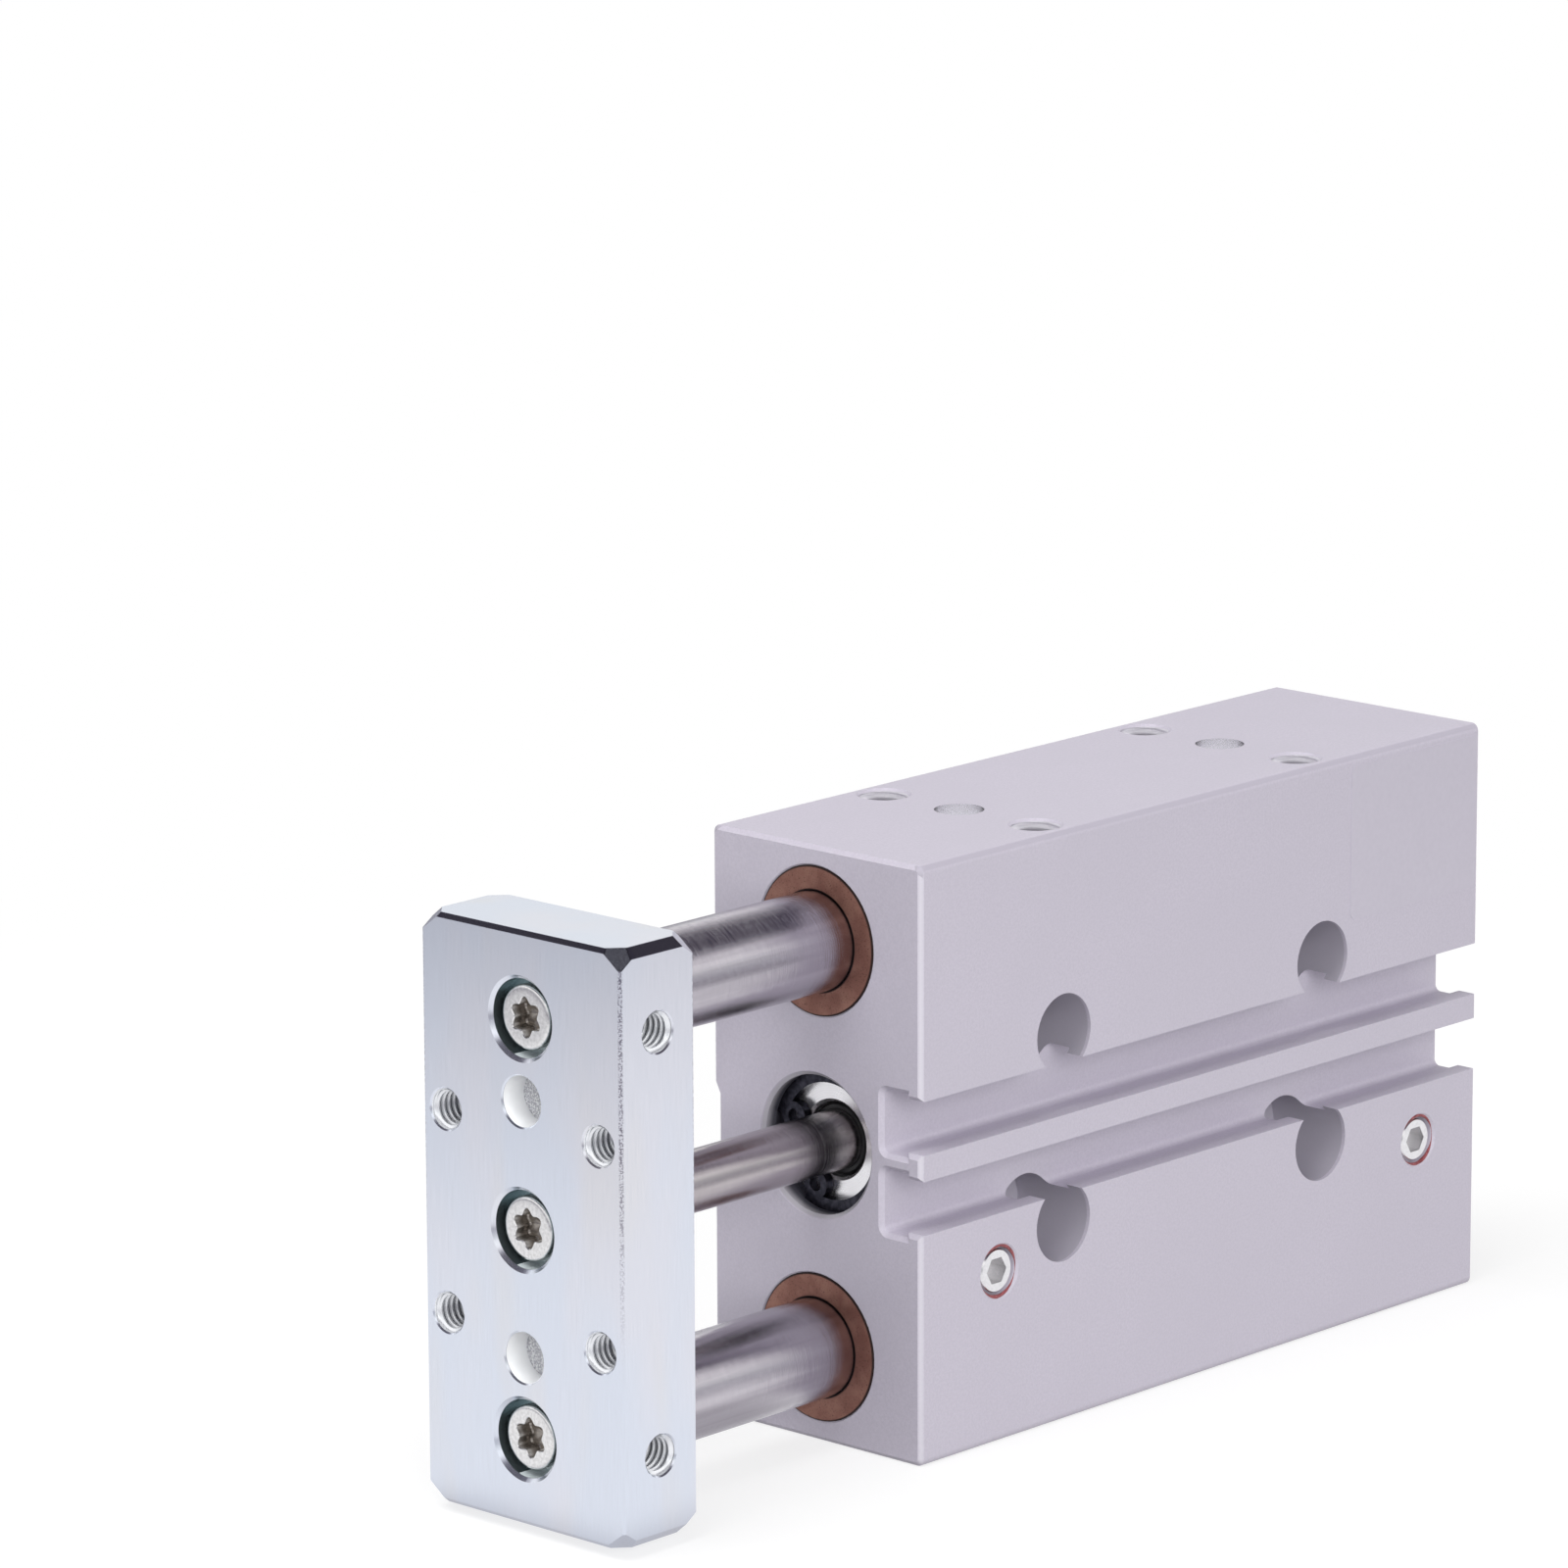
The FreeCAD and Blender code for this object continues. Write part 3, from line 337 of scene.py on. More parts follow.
def tidy_mesh(mesh, angle):
    """Merges doubled points, drops faces that have closed up and turns the rest outwards."""
    work = bmesh.new()
    work.from_mesh(mesh)
    bmesh.ops.remove_doubles(work, verts=work.verts, dist=0.0005 * MM)
    bmesh.ops.dissolve_degenerate(work, edges=work.edges, dist=0.0005 * MM)
    bmesh.ops.recalc_face_normals(work, faces=work.faces)
    work.to_mesh(mesh)
    work.free()
    mesh.shade_smooth()
    mesh.set_sharp_from_angle(angle=math.radians(angle))


m5_radius, m5_pitch, thread_side = 2.5 * MM, 0.8 * MM, 10 * MM
port_height = mid_height - 12.6 * MM
port_places = [high.x - 11.5 * MM, low.x + 9.5 * MM]
tapped = Finish("tapped_aluminium")
turning = tapped.noise(0.3 * MM, 2.0)
x, y, z = tapped.axes()
# Painted shade: darker deeper down the top holes and at the roots of their threads.
deep_shade = (high.z - z).over(0.55 * MM, 1.1 * MM) * (z > high.z - 9 * MM)
bright = tapped.mix(turning, (0.80, 0.78, 0.84), (0.94, 0.92, 0.97))
root = apart(from_rows(x), abs(y) - thread_side).over(2.22 * MM, 2.44 * MM)
tapped.surface(Base_Color=tapped.mix(deep_shade.most(root * 0.6) * 0.35, bright, (0.25, 0.23, 0.28)), Metallic=0.5,
               Roughness=0.36 + 0.1 * turning, Normal=tapped.relief(turning, 0.01 * MM, 0.5))
add_threads("top_threads", [(x, side * thread_side, high.z - 0.25 * MM) for x in hole_rows for side in (1, -1)],
            (0, 0, -1), m5_radius, m5_pitch, 7.2 * MM, tapped.material, "base")
add_threads("port_threads", [(x, low.y + 0.35 * MM, port_height) for x in port_places],
            (0, 1, 0), m5_radius, m5_pitch, 6.4 * MM, tapped.material, "base")

# ---------------------------------------------------------------- guide bushes
# Sleeves pressed from bronze powder, sintered and filled with oil, then pushed into the housing.
# The sintered face is brown and dull, with fine dark pores and a burnished look where it was sized.

rod_rise = 20.5 * MM
inner_round, outer_round, rear_bevel, bore_bevel = 0.14 * MM, 0.22 * MM, 0.2 * MM, 0.5 * MM
bronze = Finish("sintered_bronze")
pores = bronze.noise(0.16 * MM, 3.0, roughness=0.7)
stain = bronze.noise(2.2 * MM, 3.0)
brown = bronze.mix(stain.over(0.35, 0.7), (0.250, 0.112, 0.085), (0.345, 0.172, 0.130))
brown = bronze.mix(pores.over(0.56, 0.72), brown, (0.075, 0.035, 0.028))
x, y, z = bronze.axes()
# The outer and inner edges of the bush faces are painted near black: painted shade where they meet the housing and
# the rod.
from_rod = apart(y, abs(z - mid_height) - rod_rise)
brown = bronze.mix(from_rod.over(7.26 * MM, 7.36 * MM) + from_rod.over(5.24 * MM, 5.12 * MM), brown,
                   (0.035, 0.018, 0.016))
bronze.surface(Base_Color=brown, Metallic=0.65, Roughness=0.38 + 0.2 * pores,
               Normal=bronze.relief(pores, -0.012 * MM, 0.7))
finish_nodes(bronze.material, "bush_rear_upper", "bush_rear_lower", "rod_bearing")


def grid_faces(rows, columns, closed=False):
    """Quads between the rows of a grid whose columns run round; closed joins the last row to the first."""
    i, j = np.meshgrid(np.arange(rows if closed else rows - 1), np.arange(columns), indexing="ij")
    a, b = (i + 1) % rows, (j + 1) % columns
    return np.stack([i * columns + j, i * columns + b, a * columns + b, a * columns + j], axis=-1).reshape(-1, 4)


def turned_ring(profile, centre_z, columns=96):
    """A ring turned about an axis along X: each profile pair (x, radius) carried round a full turn, and the
    last pair joined to the first. Points and faces."""
    profile = np.array(profile, float)
    angle = 2 * math.pi * np.arange(columns) / columns
    points = np.stack([np.repeat(profile[:, :1], columns, axis=1), profile[:, 1:] * np.sin(angle),
                       centre_z + profile[:, 1:] * np.cos(angle)], axis=-1).reshape(-1, 3)
    return points, grid_faces(len(profile), columns, closed=True)


rod_low, rod_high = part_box("guide_rod_upper")
sliding_radius = (rod_high.y - rod_low.y) / 2 + 0.02 * MM
for level in ("upper", "lower"):
    bush_low, bush_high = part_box("bush_front_" + level)
    outer = (bush_high.y - bush_low.y) / 2
    turn_in = np.radians(np.linspace(0, 90, 5))
    inner_edge = [(bush_high.x - inner_round * (1 - math.sin(a)), sliding_radius + inner_round * (1 - math.cos(a)))
                  for a in turn_in]
    outer_edge = [(bush_high.x - outer_round * (1 - math.cos(a)), outer - outer_round * (1 - math.sin(a)))
                  for a in turn_in]
    rear_edges = [(bush_low.x + rear_bevel, outer), (bush_low.x, outer - rear_bevel),
                  (bush_low.x, sliding_radius + bore_bevel), (bush_low.x + bore_bevel, sliding_radius)]
    points, quads = turned_ring(inner_edge + outer_edge + rear_edges, (bush_low.z + bush_high.z) / 2)
    sleeve = add_piece("bush_sleeve_" + level, points, quads.tolist(), bronze.material, "base")
    tidy_mesh(sleeve.data, 30)
    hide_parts("bush_front_" + level)

# ---------------------------------------------------------------- gland, rear cap and piston halves
# Turned from aluminium bar: fine rings left by the tool, bright and clean. The gland and the cap are held
# in the bore by circlips, and the piston halves clamp between them what slides in the bore.

ring_pitch = 0.07 * MM
turned = Finish("turned_aluminium")
x, y, z = turned.axes()
rings = turned.node("TexNoise", {"noise_dimensions": "1D"},
                    {"W": apart(y, z - mid_height) + 0.37 * x, "Scale": 1 / ring_pitch, "Detail": 3.0})
turned.surface(Base_Color=turned.mix(rings.over(0.3, 0.7), (0.87, 0.86, 0.88), (0.97, 0.96, 0.97)), Metallic=0.95,
               Roughness=0.22 + 0.12 * turned.noise(1.5 * MM, 2.0), Normal=turned.relief(rings, 0.006 * MM, 0.6))
finish_nodes(turned.material, "rod_gland", "rear_cap", "piston_front", "piston_rear")

# ---------------------------------------------------------------- seals and cushions
# Moulded black rubber: the wiping seal round the rod, O-rings, piston seals and end cushions.
# The moulded skin is smooth, with a trace of grease where it wipes the rod.

rubber = Finish("black_rubber")
bloom = rubber.noise(0.8 * MM, 3.0)
rubber.surface(Base_Color=rubber.mix(bloom.over(0.4, 0.8), (0.012, 0.012, 0.013), (0.028, 0.027, 0.028)),
               Roughness=0.34 + 0.22 * bloom, Normal=rubber.relief(bloom, 0.01 * MM, 0.4))
finish_nodes(rubber.material, "rod_seal", "gland_ring", "rear_ring", "piston_seal_front", "piston_seal_rear")
cushion = Finish("cushion_rubber")
speckle = cushion.noise(0.5 * MM, 2.0)
cushion.surface(Base_Color=cushion.mix(speckle, (0.030, 0.030, 0.034), (0.050, 0.050, 0.056)),
                Roughness=0.55 + 0.1 * speckle, Normal=cushion.relief(speckle, 0.01 * MM, 0.4))
finish_nodes(cushion.material, "front_cushion", "rear_cushion")

# ---------------------------------------------------------------- circlips
# Stamped from spring steel strip and blackened; tumbling has rounded and polished the edges.

spring = Finish("black_spring_steel")
scale = spring.noise(0.6 * MM, 3.0)
spring.surface(Base_Color=spring.mix(scale.over(0.35, 0.75), (0.018, 0.018, 0.027), (0.055, 0.054, 0.072)),
               Metallic=0.85, Roughness=0.20 + 0.2 * scale, Normal=spring.relief(scale, 0.012 * MM, 0.4))
finish_nodes(spring.material, "front_circlip", "rear_circlip")

# ---------------------------------------------------------------- piston magnet, band and nut
# A plastic-bonded ring magnet, a strip of filled bearing plastic and a plated steel nut, inside the bore.

bonded = Finish("bonded_magnet")
flake = bonded.noise(0.25 * MM, 3.0)
bonded.surface(Base_Color=bonded.mix(flake, (0.020, 0.019, 0.019), (0.055, 0.052, 0.052)), Metallic=0.4,
               Roughness=0.5 + 0.15 * flake, Normal=bonded.relief(flake, 0.01 * MM, 0.5))
finish_nodes(bonded.material, "piston_magnet")
bearing_strip = Finish("bearing_strip")
fleck = bearing_strip.noise(0.2 * MM, 2.0)
bearing_strip.surface(Base_Color=bearing_strip.mix(fleck, (0.030, 0.032, 0.030), (0.060, 0.062, 0.058)),
                      Roughness=0.5 + 0.1 * fleck, Normal=bearing_strip.relief(fleck, 0.008 * MM, 0.4))
finish_nodes(bearing_strip.material, "piston_band")

# ---------------------------------------------------------------- guide rods and piston rod
# Steel bar, hardened and centreless ground: fine rings of grinding marks and a few lengthwise streaks.


grinding_depth = 0.030 * MM


def ground_finish(name, dark, light, roughness):
    """Ground steel along X: rings from noise drawn thin along X, streaks from noise drawn long along X."""
    finish = Finish(name)
    rings = finish.noise(0.9 * MM, 4.0, (12.0, 0.06, 0.06), 0.65)
    streaks = finish.noise(1.1 * MM, 2.0, (0.03, 1.0, 1.0))
    colour = finish.mix(streaks.over(0.3, 0.7), dark, light)
    colour = finish.mix(rings.over(0.5, 0.8) * 0.3, colour, tuple(0.8 * part for part in dark))
    finish.surface(Base_Color=colour, Metallic=1.0, Roughness=roughness + 0.1 * rings + 0.05 * streaks,
                   Normal=finish.relief(rings, grinding_depth, 0.6))
    return finish.material


guide_steel = ground_finish("ground_guide_steel", (0.50, 0.47, 0.51), (0.60, 0.57, 0.61), 0.10)
finish_nodes(guide_steel, "guide_rod_upper", "guide_rod_lower")
rod_steel = ground_finish("ground_rod_steel", (0.46, 0.42, 0.43), (0.57, 0.53, 0.54), 0.11)
finish_nodes(rod_steel, "piston_rod")

# ---------------------------------------------------------------- yoke plate
# Cut from cold-drawn steel flat, drilled, bevelled and bright zinc plated. The drawing lines run upright,
# and the plating has a cool blue cast that turns faintly lilac and straw in places.

plate_low, plate_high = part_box("yoke_plate")
plate_middle = (plate_low.x + plate_high.x) / 2
pin_rise, pin_radius, pin_depth, pin_bevel = 12.5 * MM, 2.56 * MM, 2.93 * MM, 0.2 * MM
screw_pocket_radius, screw_pocket_floor = 3.9 * MM, 3 * MM
short_bevel, long_bevel, corner_cut = 0.55 * MM, 1.05 * MM, 3.2 * MM
plated = Finish("zinc_plate")
lines = plated.noise(0.5 * MM, 3.0, (6.0, 6.0, 0.12), 0.6)
fine = plated.noise(0.16 * MM, 2.0)
cast = plated.noise(11 * MM, 2.0, (1.0, 1.0, 0.35))
sheen = plated.noise(7 * MM, 1.0, (1.0, 1.0, 0.25))
tint = plated.mix(cast.over(0.38, 0.62), (0.770, 0.815, 0.905), (0.810, 0.820, 0.885))
tint = plated.mix(sheen.over(0.55, 0.75) * 0.5, tint, (0.815, 0.800, 0.800))
tint = plated.mix(lines.over(0.3, 0.7) * 0.28, tint, (0.680, 0.710, 0.790))
near_end, near_side, _ = plated.near_faces(plate_low, plate_high, 0.42 * MM)
x, y, z = plated.axes()
upper = z.over(mid_height - 14 * MM, mid_height + 12 * MM)
tint = plated.mix(near_end * near_side * fine.over(0.44, 0.58) * upper * 0.8, tint, (0.16, 0.14, 0.19))
# The upper bevels and corners are given the dark that bright zinc shows there, as a colour and not a reflection.
from_face, from_edge, from_top = plate_high.x - x, plate_high.y - abs(y), plate_high.z - z
slope_end = (from_face.least(from_top) > 0.03 * MM) * (from_face + from_top < short_bevel)
slope_long = (from_edge.least(from_top) > 0.03 * MM) * (from_edge + from_top < long_bevel)
corner = ((from_face.least(from_edge).least(from_top) > 0.03 * MM)
          * (from_face + from_edge + from_top < corner_cut))
tint = plated.mix(slope_end.most(slope_long) * (0.78 + 0.12 * fine), tint, (0.07, 0.06, 0.09))
tint = plated.mix(corner * fine.over(0.2, 0.8) * 0.6, tint, (0.10, 0.09, 0.15))
# The walls of the pin holes are painted white and not metal, a painted highlight; their floors are painted darker
# in patches, a painted shade.
pin_hole = ((apart(y, abs(z - mid_height) - pin_rise) < pin_radius)
            * (x > plate_high.x - 3.1 * MM) * (x < plate_high.x - pin_bevel))
tint = plated.mix(pin_hole, tint, (0.98, 0.99, 1.0))
pin_floor = pin_hole * (x < plate_high.x - pin_depth) * fine.over(0.35, 0.6)
tint = plated.mix(pin_floor * 0.7, tint, (0.30, 0.29, 0.36))
# The walls of the screw pockets are painted grey-green as shade, with a painted highlight low down and a fainter
# one high up.
from_screw = (z - mid_height).wrap(rod_rise / 2)
screw_hole = ((apart(y, from_screw) < screw_pocket_radius)
              * (x < plate_high.x - 0.42 * MM) * (x > plate_low.x + screw_pocket_floor))
low_patch = (from_screw < -3.25 * MM) * (y > -1.2 * MM)
high_patch = (from_screw > 3.4 * MM) * (y < 0.4 * MM)
painted_glint = screw_hole * low_patch.most(high_patch * 0.5)
tint = plated.mix(screw_hole, tint, (0.40, 0.48, 0.50))
tint = plated.mix(painted_glint, tint, (0.90, 0.98, 1.0))
plated.surface(Base_Color=tint, Metallic=0.94 - 0.94 * pin_hole - 0.6 * painted_glint,
               Roughness=0.15 + 0.08 * lines + 0.04 * fine,
               Normal=plated.relief(lines, 0.003 * MM, 0.4, plated.relief(fine, 0.002 * MM, 0.3)))
finish_nodes(plated.material, "yoke_plate")

m4_radius, m4_pitch, square_side = 2.0 * MM, 0.7 * MM, 10 * MM
cut_plate = Finish("tapped_plate")
burr = cut_plate.noise(0.25 * MM, 2.0)
x, y, z = cut_plate.axes()
in_face = apart(abs(y) - square_side, abs(z - mid_height) - square_side)
in_side = apart(x - plate_middle, abs(z - mid_height) - rod_rise)
face_root, side_root = [from_axis.over(1.78 * MM, 1.94 * MM) * (from_axis < 2.1 * MM)
                        for from_axis in (in_face, in_side)]
# Painted shade: the roots of the plate's threads, away from their mouths, are painted dark.
root = face_root.most(side_root) * (x < plate_high.x - 0.6 * MM) * (abs(y) < plate_high.y - 0.6 * MM)
bright = cut_plate.mix(burr, (0.86, 0.88, 0.92), (0.97, 0.98, 1.0))
cut_plate.surface(Base_Color=cut_plate.mix(root * 0.9, bright, (0.10, 0.11, 0.14)), Metallic=0.6,
                  Roughness=0.20 + 0.08 * burr, Normal=cut_plate.relief(burr, 0.004 * MM, 0.4))
add_threads("plate_threads", [(plate_high.x - 0.15 * MM, y, mid_height + z)
                              for y in (square_side, -square_side) for z in (square_side, -square_side)],
            (-1, 0, 0), m4_radius, m4_pitch, 9.3 * MM, cut_plate.material, "slide")
for side, wall, inward in (("right", plate_high.y, -1), ("left", plate_low.y, 1)):
    add_threads("plate_side_threads_" + side,
                [(plate_middle, wall + inward * 0.15 * MM, mid_height + z) for z in (rod_rise, -rod_rise)],
                (0, inward, 0), m4_radius, m4_pitch, 6.2 * MM, cut_plate.material, "slide")

# ---------------------------------------------------------------- yoke screws, nut and port plugs
# Cold-headed steel, zinc plated: the six-lobed sockets are pressed in, so their floors are rough. Each screw
# clamps the plate to a rod end. The plugs keep their shape and close the two ports of the slotted face.

socket_radius, socket_depth = 2.0 * MM, 4 * MM
screw_zinc = Finish("screw_zinc")
dimple = screw_zinc.noise(0.35 * MM, 3.0)
x, y, z = screw_zinc.axes()
head_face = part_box("yoke_screws")[1].x
in_socket = ((apart(y, (z - mid_height).wrap(rod_rise / 2)) < socket_radius)
             * (head_face - x).over(0.12 * MM, 0.9 * MM) * (x > head_face - socket_depth))
head_grey = screw_zinc.mix(dimple.over(0.3, 0.7), (0.74, 0.735, 0.73), (0.88, 0.875, 0.87))
# Inside each socket one side is painted bright and the rest dark brown: painted light and painted shade.
socket_lit_side = in_socket * y.over(-0.3 * MM, 1.0 * MM)
socket_light_and_shade = screw_zinc.mix(socket_lit_side, (0.34, 0.31, 0.28), (0.92, 0.90, 0.88))
screw_zinc.surface(Base_Color=screw_zinc.mix(in_socket, head_grey, socket_light_and_shade), Metallic=0.92 - 0.6 * socket_lit_side,
                   Roughness=0.17 + 0.10 * dimple, Normal=screw_zinc.relief(dimple, 0.004 * MM, 0.5))
finish_nodes(screw_zinc.material, "piston_nut")


def screw_points(face_x, centre_z, columns=72):
    """A low-head screw along X. Row s of the grid has a depth below the head's face, a radius and a share of
    lobing; at angle a the radius is (1 - lobing) * radius + lobing * radius * (1 + 0.16 cos 6a), so the
    socket's rows are six-lobed and the rest are round. The first and last rows are closed by flat caps."""
    rows = np.array([(2.10, 0.01, 1), (1.85, 0.80, 1), (1.80, 1.45, 1), (1.66, 1.60, 1), (0.22, 1.66, 1),
                     (0.08, 1.70, 1), (0.00, 1.80, 0.9), (0.00, 2.25, 0.1), (0.00, 2.72, 0), (0.025, 2.88, 0),
                     (0.08, 3.00, 0), (0.17, 3.09, 0), (0.30, 3.14, 0), (0.46, 3.15, 0), (2.65, 3.15, 0),
                     (2.80, 3.00, 0), (2.80, 2.05, 0), (2.95, 1.98, 0), (14.3, 1.98, 0), (14.8, 1.50, 0),
                     (14.8, 0.01, 0)])
    angle = 2 * math.pi * np.arange(columns) / columns
    radius = rows[:, 1:2] * (1 + 0.16 * rows[:, 2:3] * np.cos(6 * angle + 0.5)) * MM
    points = np.stack([np.repeat(face_x - rows[:, :1] * MM, columns, axis=1), radius * np.sin(angle),
                       centre_z + radius * np.cos(angle)], axis=-1).reshape(-1, 3)
    caps = [tuple(range(columns)), tuple(range(len(points) - columns, len(points)))]
    return points, grid_faces(len(rows), columns), caps


heads, head_faces = [], []
for order, rise in enumerate((-rod_rise, 0.0, rod_rise)):
    points, quads, caps = screw_points(head_face, mid_height + rise)
    first = order * len(points)
    heads.append(points)
    head_faces += [tuple(np.array(face) + first) for face in quads.tolist() + caps]
screws = add_piece("yoke_screw_set", np.vstack(heads), head_faces, screw_zinc.material, "slide")
tidy_mesh(screws.data, 28)
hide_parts("yoke_screws")
plug_zinc = Finish("plug_zinc")
rub = plug_zinc.noise(0.4 * MM, 3.0)
x, y, z = plug_zinc.axes()
inside = y < high.y - 0.65 * MM
plug_zinc.surface(Base_Color=plug_zinc.mix(rub, (0.74, 0.73, 0.74), (0.94, 0.93, 0.94)),
                  Metallic=1.0 - 0.22 * inside, Roughness=0.14 + 0.12 * rub,
                  Normal=plug_zinc.relief(rub, 0.008 * MM, 0.4))
finish_nodes(plug_zinc.material, "port_plugs")

# ---------------------------------------------------------------- thread sealant
# A film of red sealant squeezed out round each plug when it was screwed in, and left to set.
# It is thick at the top and the bottom of the port and thin between.

bead_steps, bead_sides = 72, 10
bead_turn = 2 * math.pi * np.arange(bead_steps) / bead_steps
bead_round = 2 * math.pi * np.arange(bead_sides) / bead_sides
bead_radius, bead_sunk = 2.60 * MM, 0.30 * MM


def sealant_bead(centre_x, centre_z, turned):
    """A ring of varying thickness: at angle a its middle is at radius R in the port's mouth, and its section
    is a circle of radius t(a), where t swells in two lobes and wavers a little."""
    upper_lobe = np.clip(np.cos(bead_turn - turned), 0, 1) ** 2
    lower_lobe = 0.9 * np.clip(-np.cos(bead_turn - turned - 0.25), 0, 1) ** 3
    swell = upper_lobe + lower_lobe
    waver = 0.12 * np.sin(5 * bead_turn + turned) + 0.08 * np.sin(11 * bead_turn)
    thick = (0.045 + 0.185 * np.clip(swell * (1 + waver), 0, 1.05)) * MM
    around = bead_radius + thick[:, None] * np.cos(bead_round)
    depth = high.y - bead_sunk + thick[:, None] * np.sin(bead_round)
    points = np.stack([centre_x + around * np.sin(bead_turn)[:, None], depth,
                       centre_z + around * np.cos(bead_turn)[:, None]], axis=-1).reshape(-1, 3)
    return points, grid_faces(bead_steps, bead_sides, closed=True)


sealant = Finish("thread_sealant")
clot = sealant.noise(0.3 * MM, 3.0)
sealant.surface(Base_Color=sealant.mix(clot.over(0.3, 0.7), (0.180, 0.035, 0.040), (0.400, 0.110, 0.120)),
                Roughness=0.34 + 0.2 * clot, Normal=sealant.relief(clot, 0.02 * MM, 0.6))
beads, bead_faces = [], []
for order, (x, turned) in enumerate(zip(port_places, (-0.25, 0.05))):
    points, quads = sealant_bead(x, port_height, turned)
    beads.append(points)
    bead_faces.append(quads + order * len(points))
film_of_sealant = add_piece("plug_sealant", np.vstack(beads), np.vstack(bead_faces).tolist(), sealant.material,
                            "base")
tidy_mesh(film_of_sealant.data, 60)

# ---------------------------------------------------------------- floor, light and camera
# The studio: a pale table top, white beyond the object, and two soft lamps. What polished metal mirrors is a
# second look of the table, painted with light that falls off with distance and with shade under the rods, and
# a tent that only glossy rays meet: grey near the table, white at middle height and nearly black high up.


def stage_object(name, mesh, material):
    mesh.materials.append(material)
    thing = bpy.data.objects.new(name, mesh)
    bpy.context.scene.collection.objects.link(thing)
    return thing


def lathed(name, profile, columns=96):
    """A surface of revolution about Z: each profile pair (radius, height) carried round a full turn."""
    profile = np.array(profile, float)
    angle = 2 * math.pi * np.arange(columns) / columns
    points = np.stack([profile[:, :1] * np.cos(angle), profile[:, :1] * np.sin(angle),
                       np.repeat(profile[:, 1:], columns, axis=1)], axis=-1).reshape(-1, 3)
    mesh = bpy.data.meshes.new(name)
    mesh.from_pydata(points, [], grid_faces(len(profile), columns).tolist())
    mesh.update()
    return mesh


def rays(finish, kind):
    """1 for rays of this kind, else 0."""
    return finish.node("LightPath", {}, {}, "Is " + kind + " Ray")


centre = (0.02, 0.0, 0.03)
table = Finish("table_top")
x, y, z = table.axes()
reach = apart(x - centre[0], y)
matt = table.node("BsdfDiffuse", {}, {"Color": (0.34, 0.34, 0.34)})
glow = table.node("Emission", {}, {"Color": (1.0, 1.0, 1.0), "Strength": 0.70 * rays(table, "Camera")})
lit = table.node("AddShader", {}, {0: matt, 1: glow})
white = table.node("Emission", {}, {"Color": (1.0, 1.0, 1.0), "Strength": 1.0})
looked_at = rays(table, "Camera").most(rays(table, "Transmission"))
open_table = table.node("MixShader", {}, {0: reach.over(0.13, 0.24) * looked_at, 1: lit, 2: white})
fall = table.node("ValToRGB", {"stops": [(0.0, (0.95, 0.95, 0.97, 1)), (0.14, (0.94, 0.94, 0.96, 1)),
                                         (0.22, (0.80, 0.80, 0.83, 1)), (0.35, (0.44, 0.43, 0.47, 1)),
                                         (0.60, (0.32, 0.31, 0.35, 1)), (1.0, (0.28, 0.27, 0.31, 1))]},
                  {0: reach})
# Painted shade: the mirrored table is darker under the rods.
shade_under_rods = x.over(0.038, 0.052) * x.over(0.094, 0.082) * abs(y).over(0.024, 0.012)
fall = table.mix(shade_under_rods * 0.55, fall, (0.26, 0.25, 0.29))
mirrored_table = table.node("Emission", {}, {"Color": fall, "Strength": 1.0})
look = table.node("MixShader", {}, {0: rays(table, "Glossy"), 1: open_table, 2: mirrored_table})
table.feed(table.tree.nodes["Material Output"].inputs["Surface"], look)
stage_object("floor", lathed("floor", [(0.0005, low.z), (0.25, low.z), (1.25, low.z)]), table.material)

tent_radius = 1.6
tent = Finish("tent_cloth")
x, y, z = tent.axes()
cloth = tent.node("ValToRGB", {"stops": [(0.0, (0.36, 0.35, 0.40, 1)), (0.05, (0.46, 0.45, 0.50, 1)),
                                         (0.22, (0.60, 0.62, 0.63, 1)), (0.37, (1.0, 1.0, 1.0, 1)),
                                         (0.50, (1.0, 1.0, 1.0, 1)), (0.585, (0.62, 0.61, 0.65, 1)),
                                         (0.65, (0.07, 0.06, 0.09, 1)), (0.9, (0.03, 0.025, 0.04, 1)),
                                         (1.0, (0.03, 0.03, 0.04, 1))]}, {0: z / tent_radius})
paper = tent.node("Emission", {}, {"Color": cloth, "Strength": 1.15})
tent.feed(tent.tree.nodes["Material Output"].inputs["Surface"], paper)
rise = np.radians(np.linspace(0, 89.9, 40))
dome = tent_radius * np.column_stack([np.cos(rise), np.sin(rise)])
shell = stage_object("tent", lathed("tent", dome), tent.material)
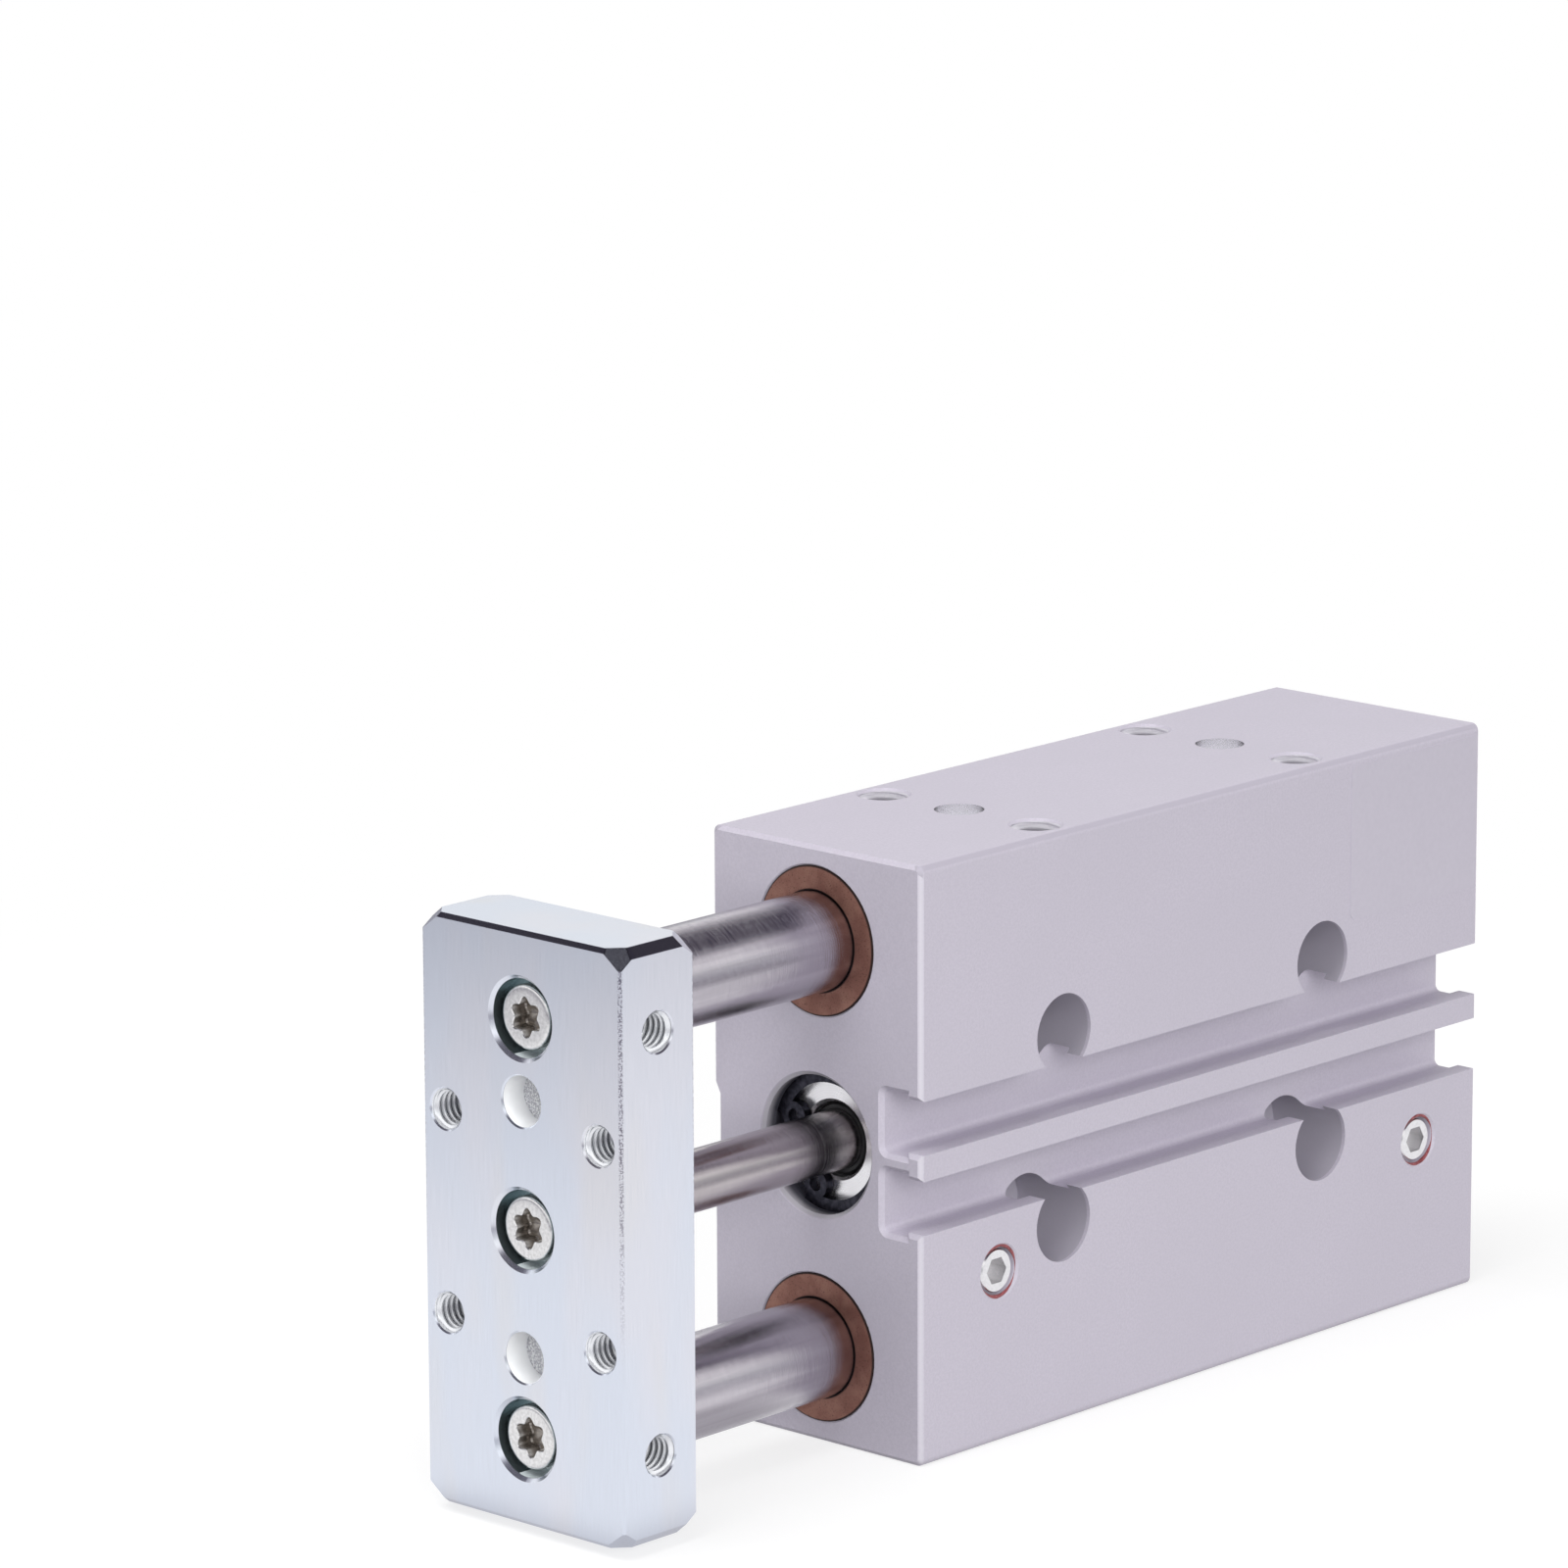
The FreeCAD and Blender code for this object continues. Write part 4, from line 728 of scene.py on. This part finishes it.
shell.visible_camera = shell.visible_diffuse = shell.visible_shadow = shell.visible_transmission = False

world = bpy.data.worlds.new("studio")
bpy.context.scene.world = world
air = Finish("studio", world)
seen = (rays(air, "Camera") + rays(air, "Glossy") + rays(air, "Transmission")).least(1.0)
sky = air.tree.nodes["Background"]
air.feed(sky.inputs["Color"], (1.0, 1.0, 1.0))
air.feed(sky.inputs["Strength"], 0.45 + 0.55 * seen)
world.cycles_visibility.glossy = False


def softbox(name, place, size, power):
    """A square soft lamp aimed at the object, which glossy rays don't meet."""
    lamp = bpy.data.lights.new(name, "AREA")
    lamp.shape, lamp.size, lamp.energy = "SQUARE", size, power
    thing = bpy.data.objects.new(name, lamp)
    bpy.context.scene.collection.objects.link(thing)
    aim = Vector(centre) - Vector(place)
    thing.matrix_world = Matrix.Translation(place) @ aim.to_track_quat("-Z", "Y").to_matrix().to_4x4()
    thing.visible_glossy = False


softbox("lamp_above", (0.45, -0.05, 1.05), 0.8, 7.2)
softbox("lamp_side", (0.52, 1.00, 0.36), 0.7, 8.1)

eye = Vector((612.43 * MM, 523.58 * MM, 241.53 * MM))
turn_angle, tilt_angle, roll = math.radians(132.83), math.radians(12.78), -0.004105
back = Vector((math.sin(turn_angle) * math.cos(tilt_angle), -math.cos(turn_angle) * math.cos(tilt_angle),
               math.sin(tilt_angle)))
right = Vector((math.cos(turn_angle), math.sin(turn_angle), 0.0))
up = back.cross(right)
rolled_right = math.cos(roll) * right + math.sin(roll) * up
rolled_up = math.cos(roll) * up - math.sin(roll) * right
lens = bpy.data.cameras.new("camera")
lens.sensor_fit, lens.sensor_width, lens.lens = "HORIZONTAL", 36.0, 188.71
lens.clip_start, lens.clip_end = 0.01, 50.0
camera = bpy.data.objects.new("camera", lens)
bpy.context.scene.collection.objects.link(camera)
axes = Matrix((rolled_right, rolled_up, back)).transposed().to_4x4()
camera.matrix_world = Matrix.Translation(eye) @ axes
bpy.context.scene.camera = camera
bpy.context.scene.view_settings.view_transform = "Standard"
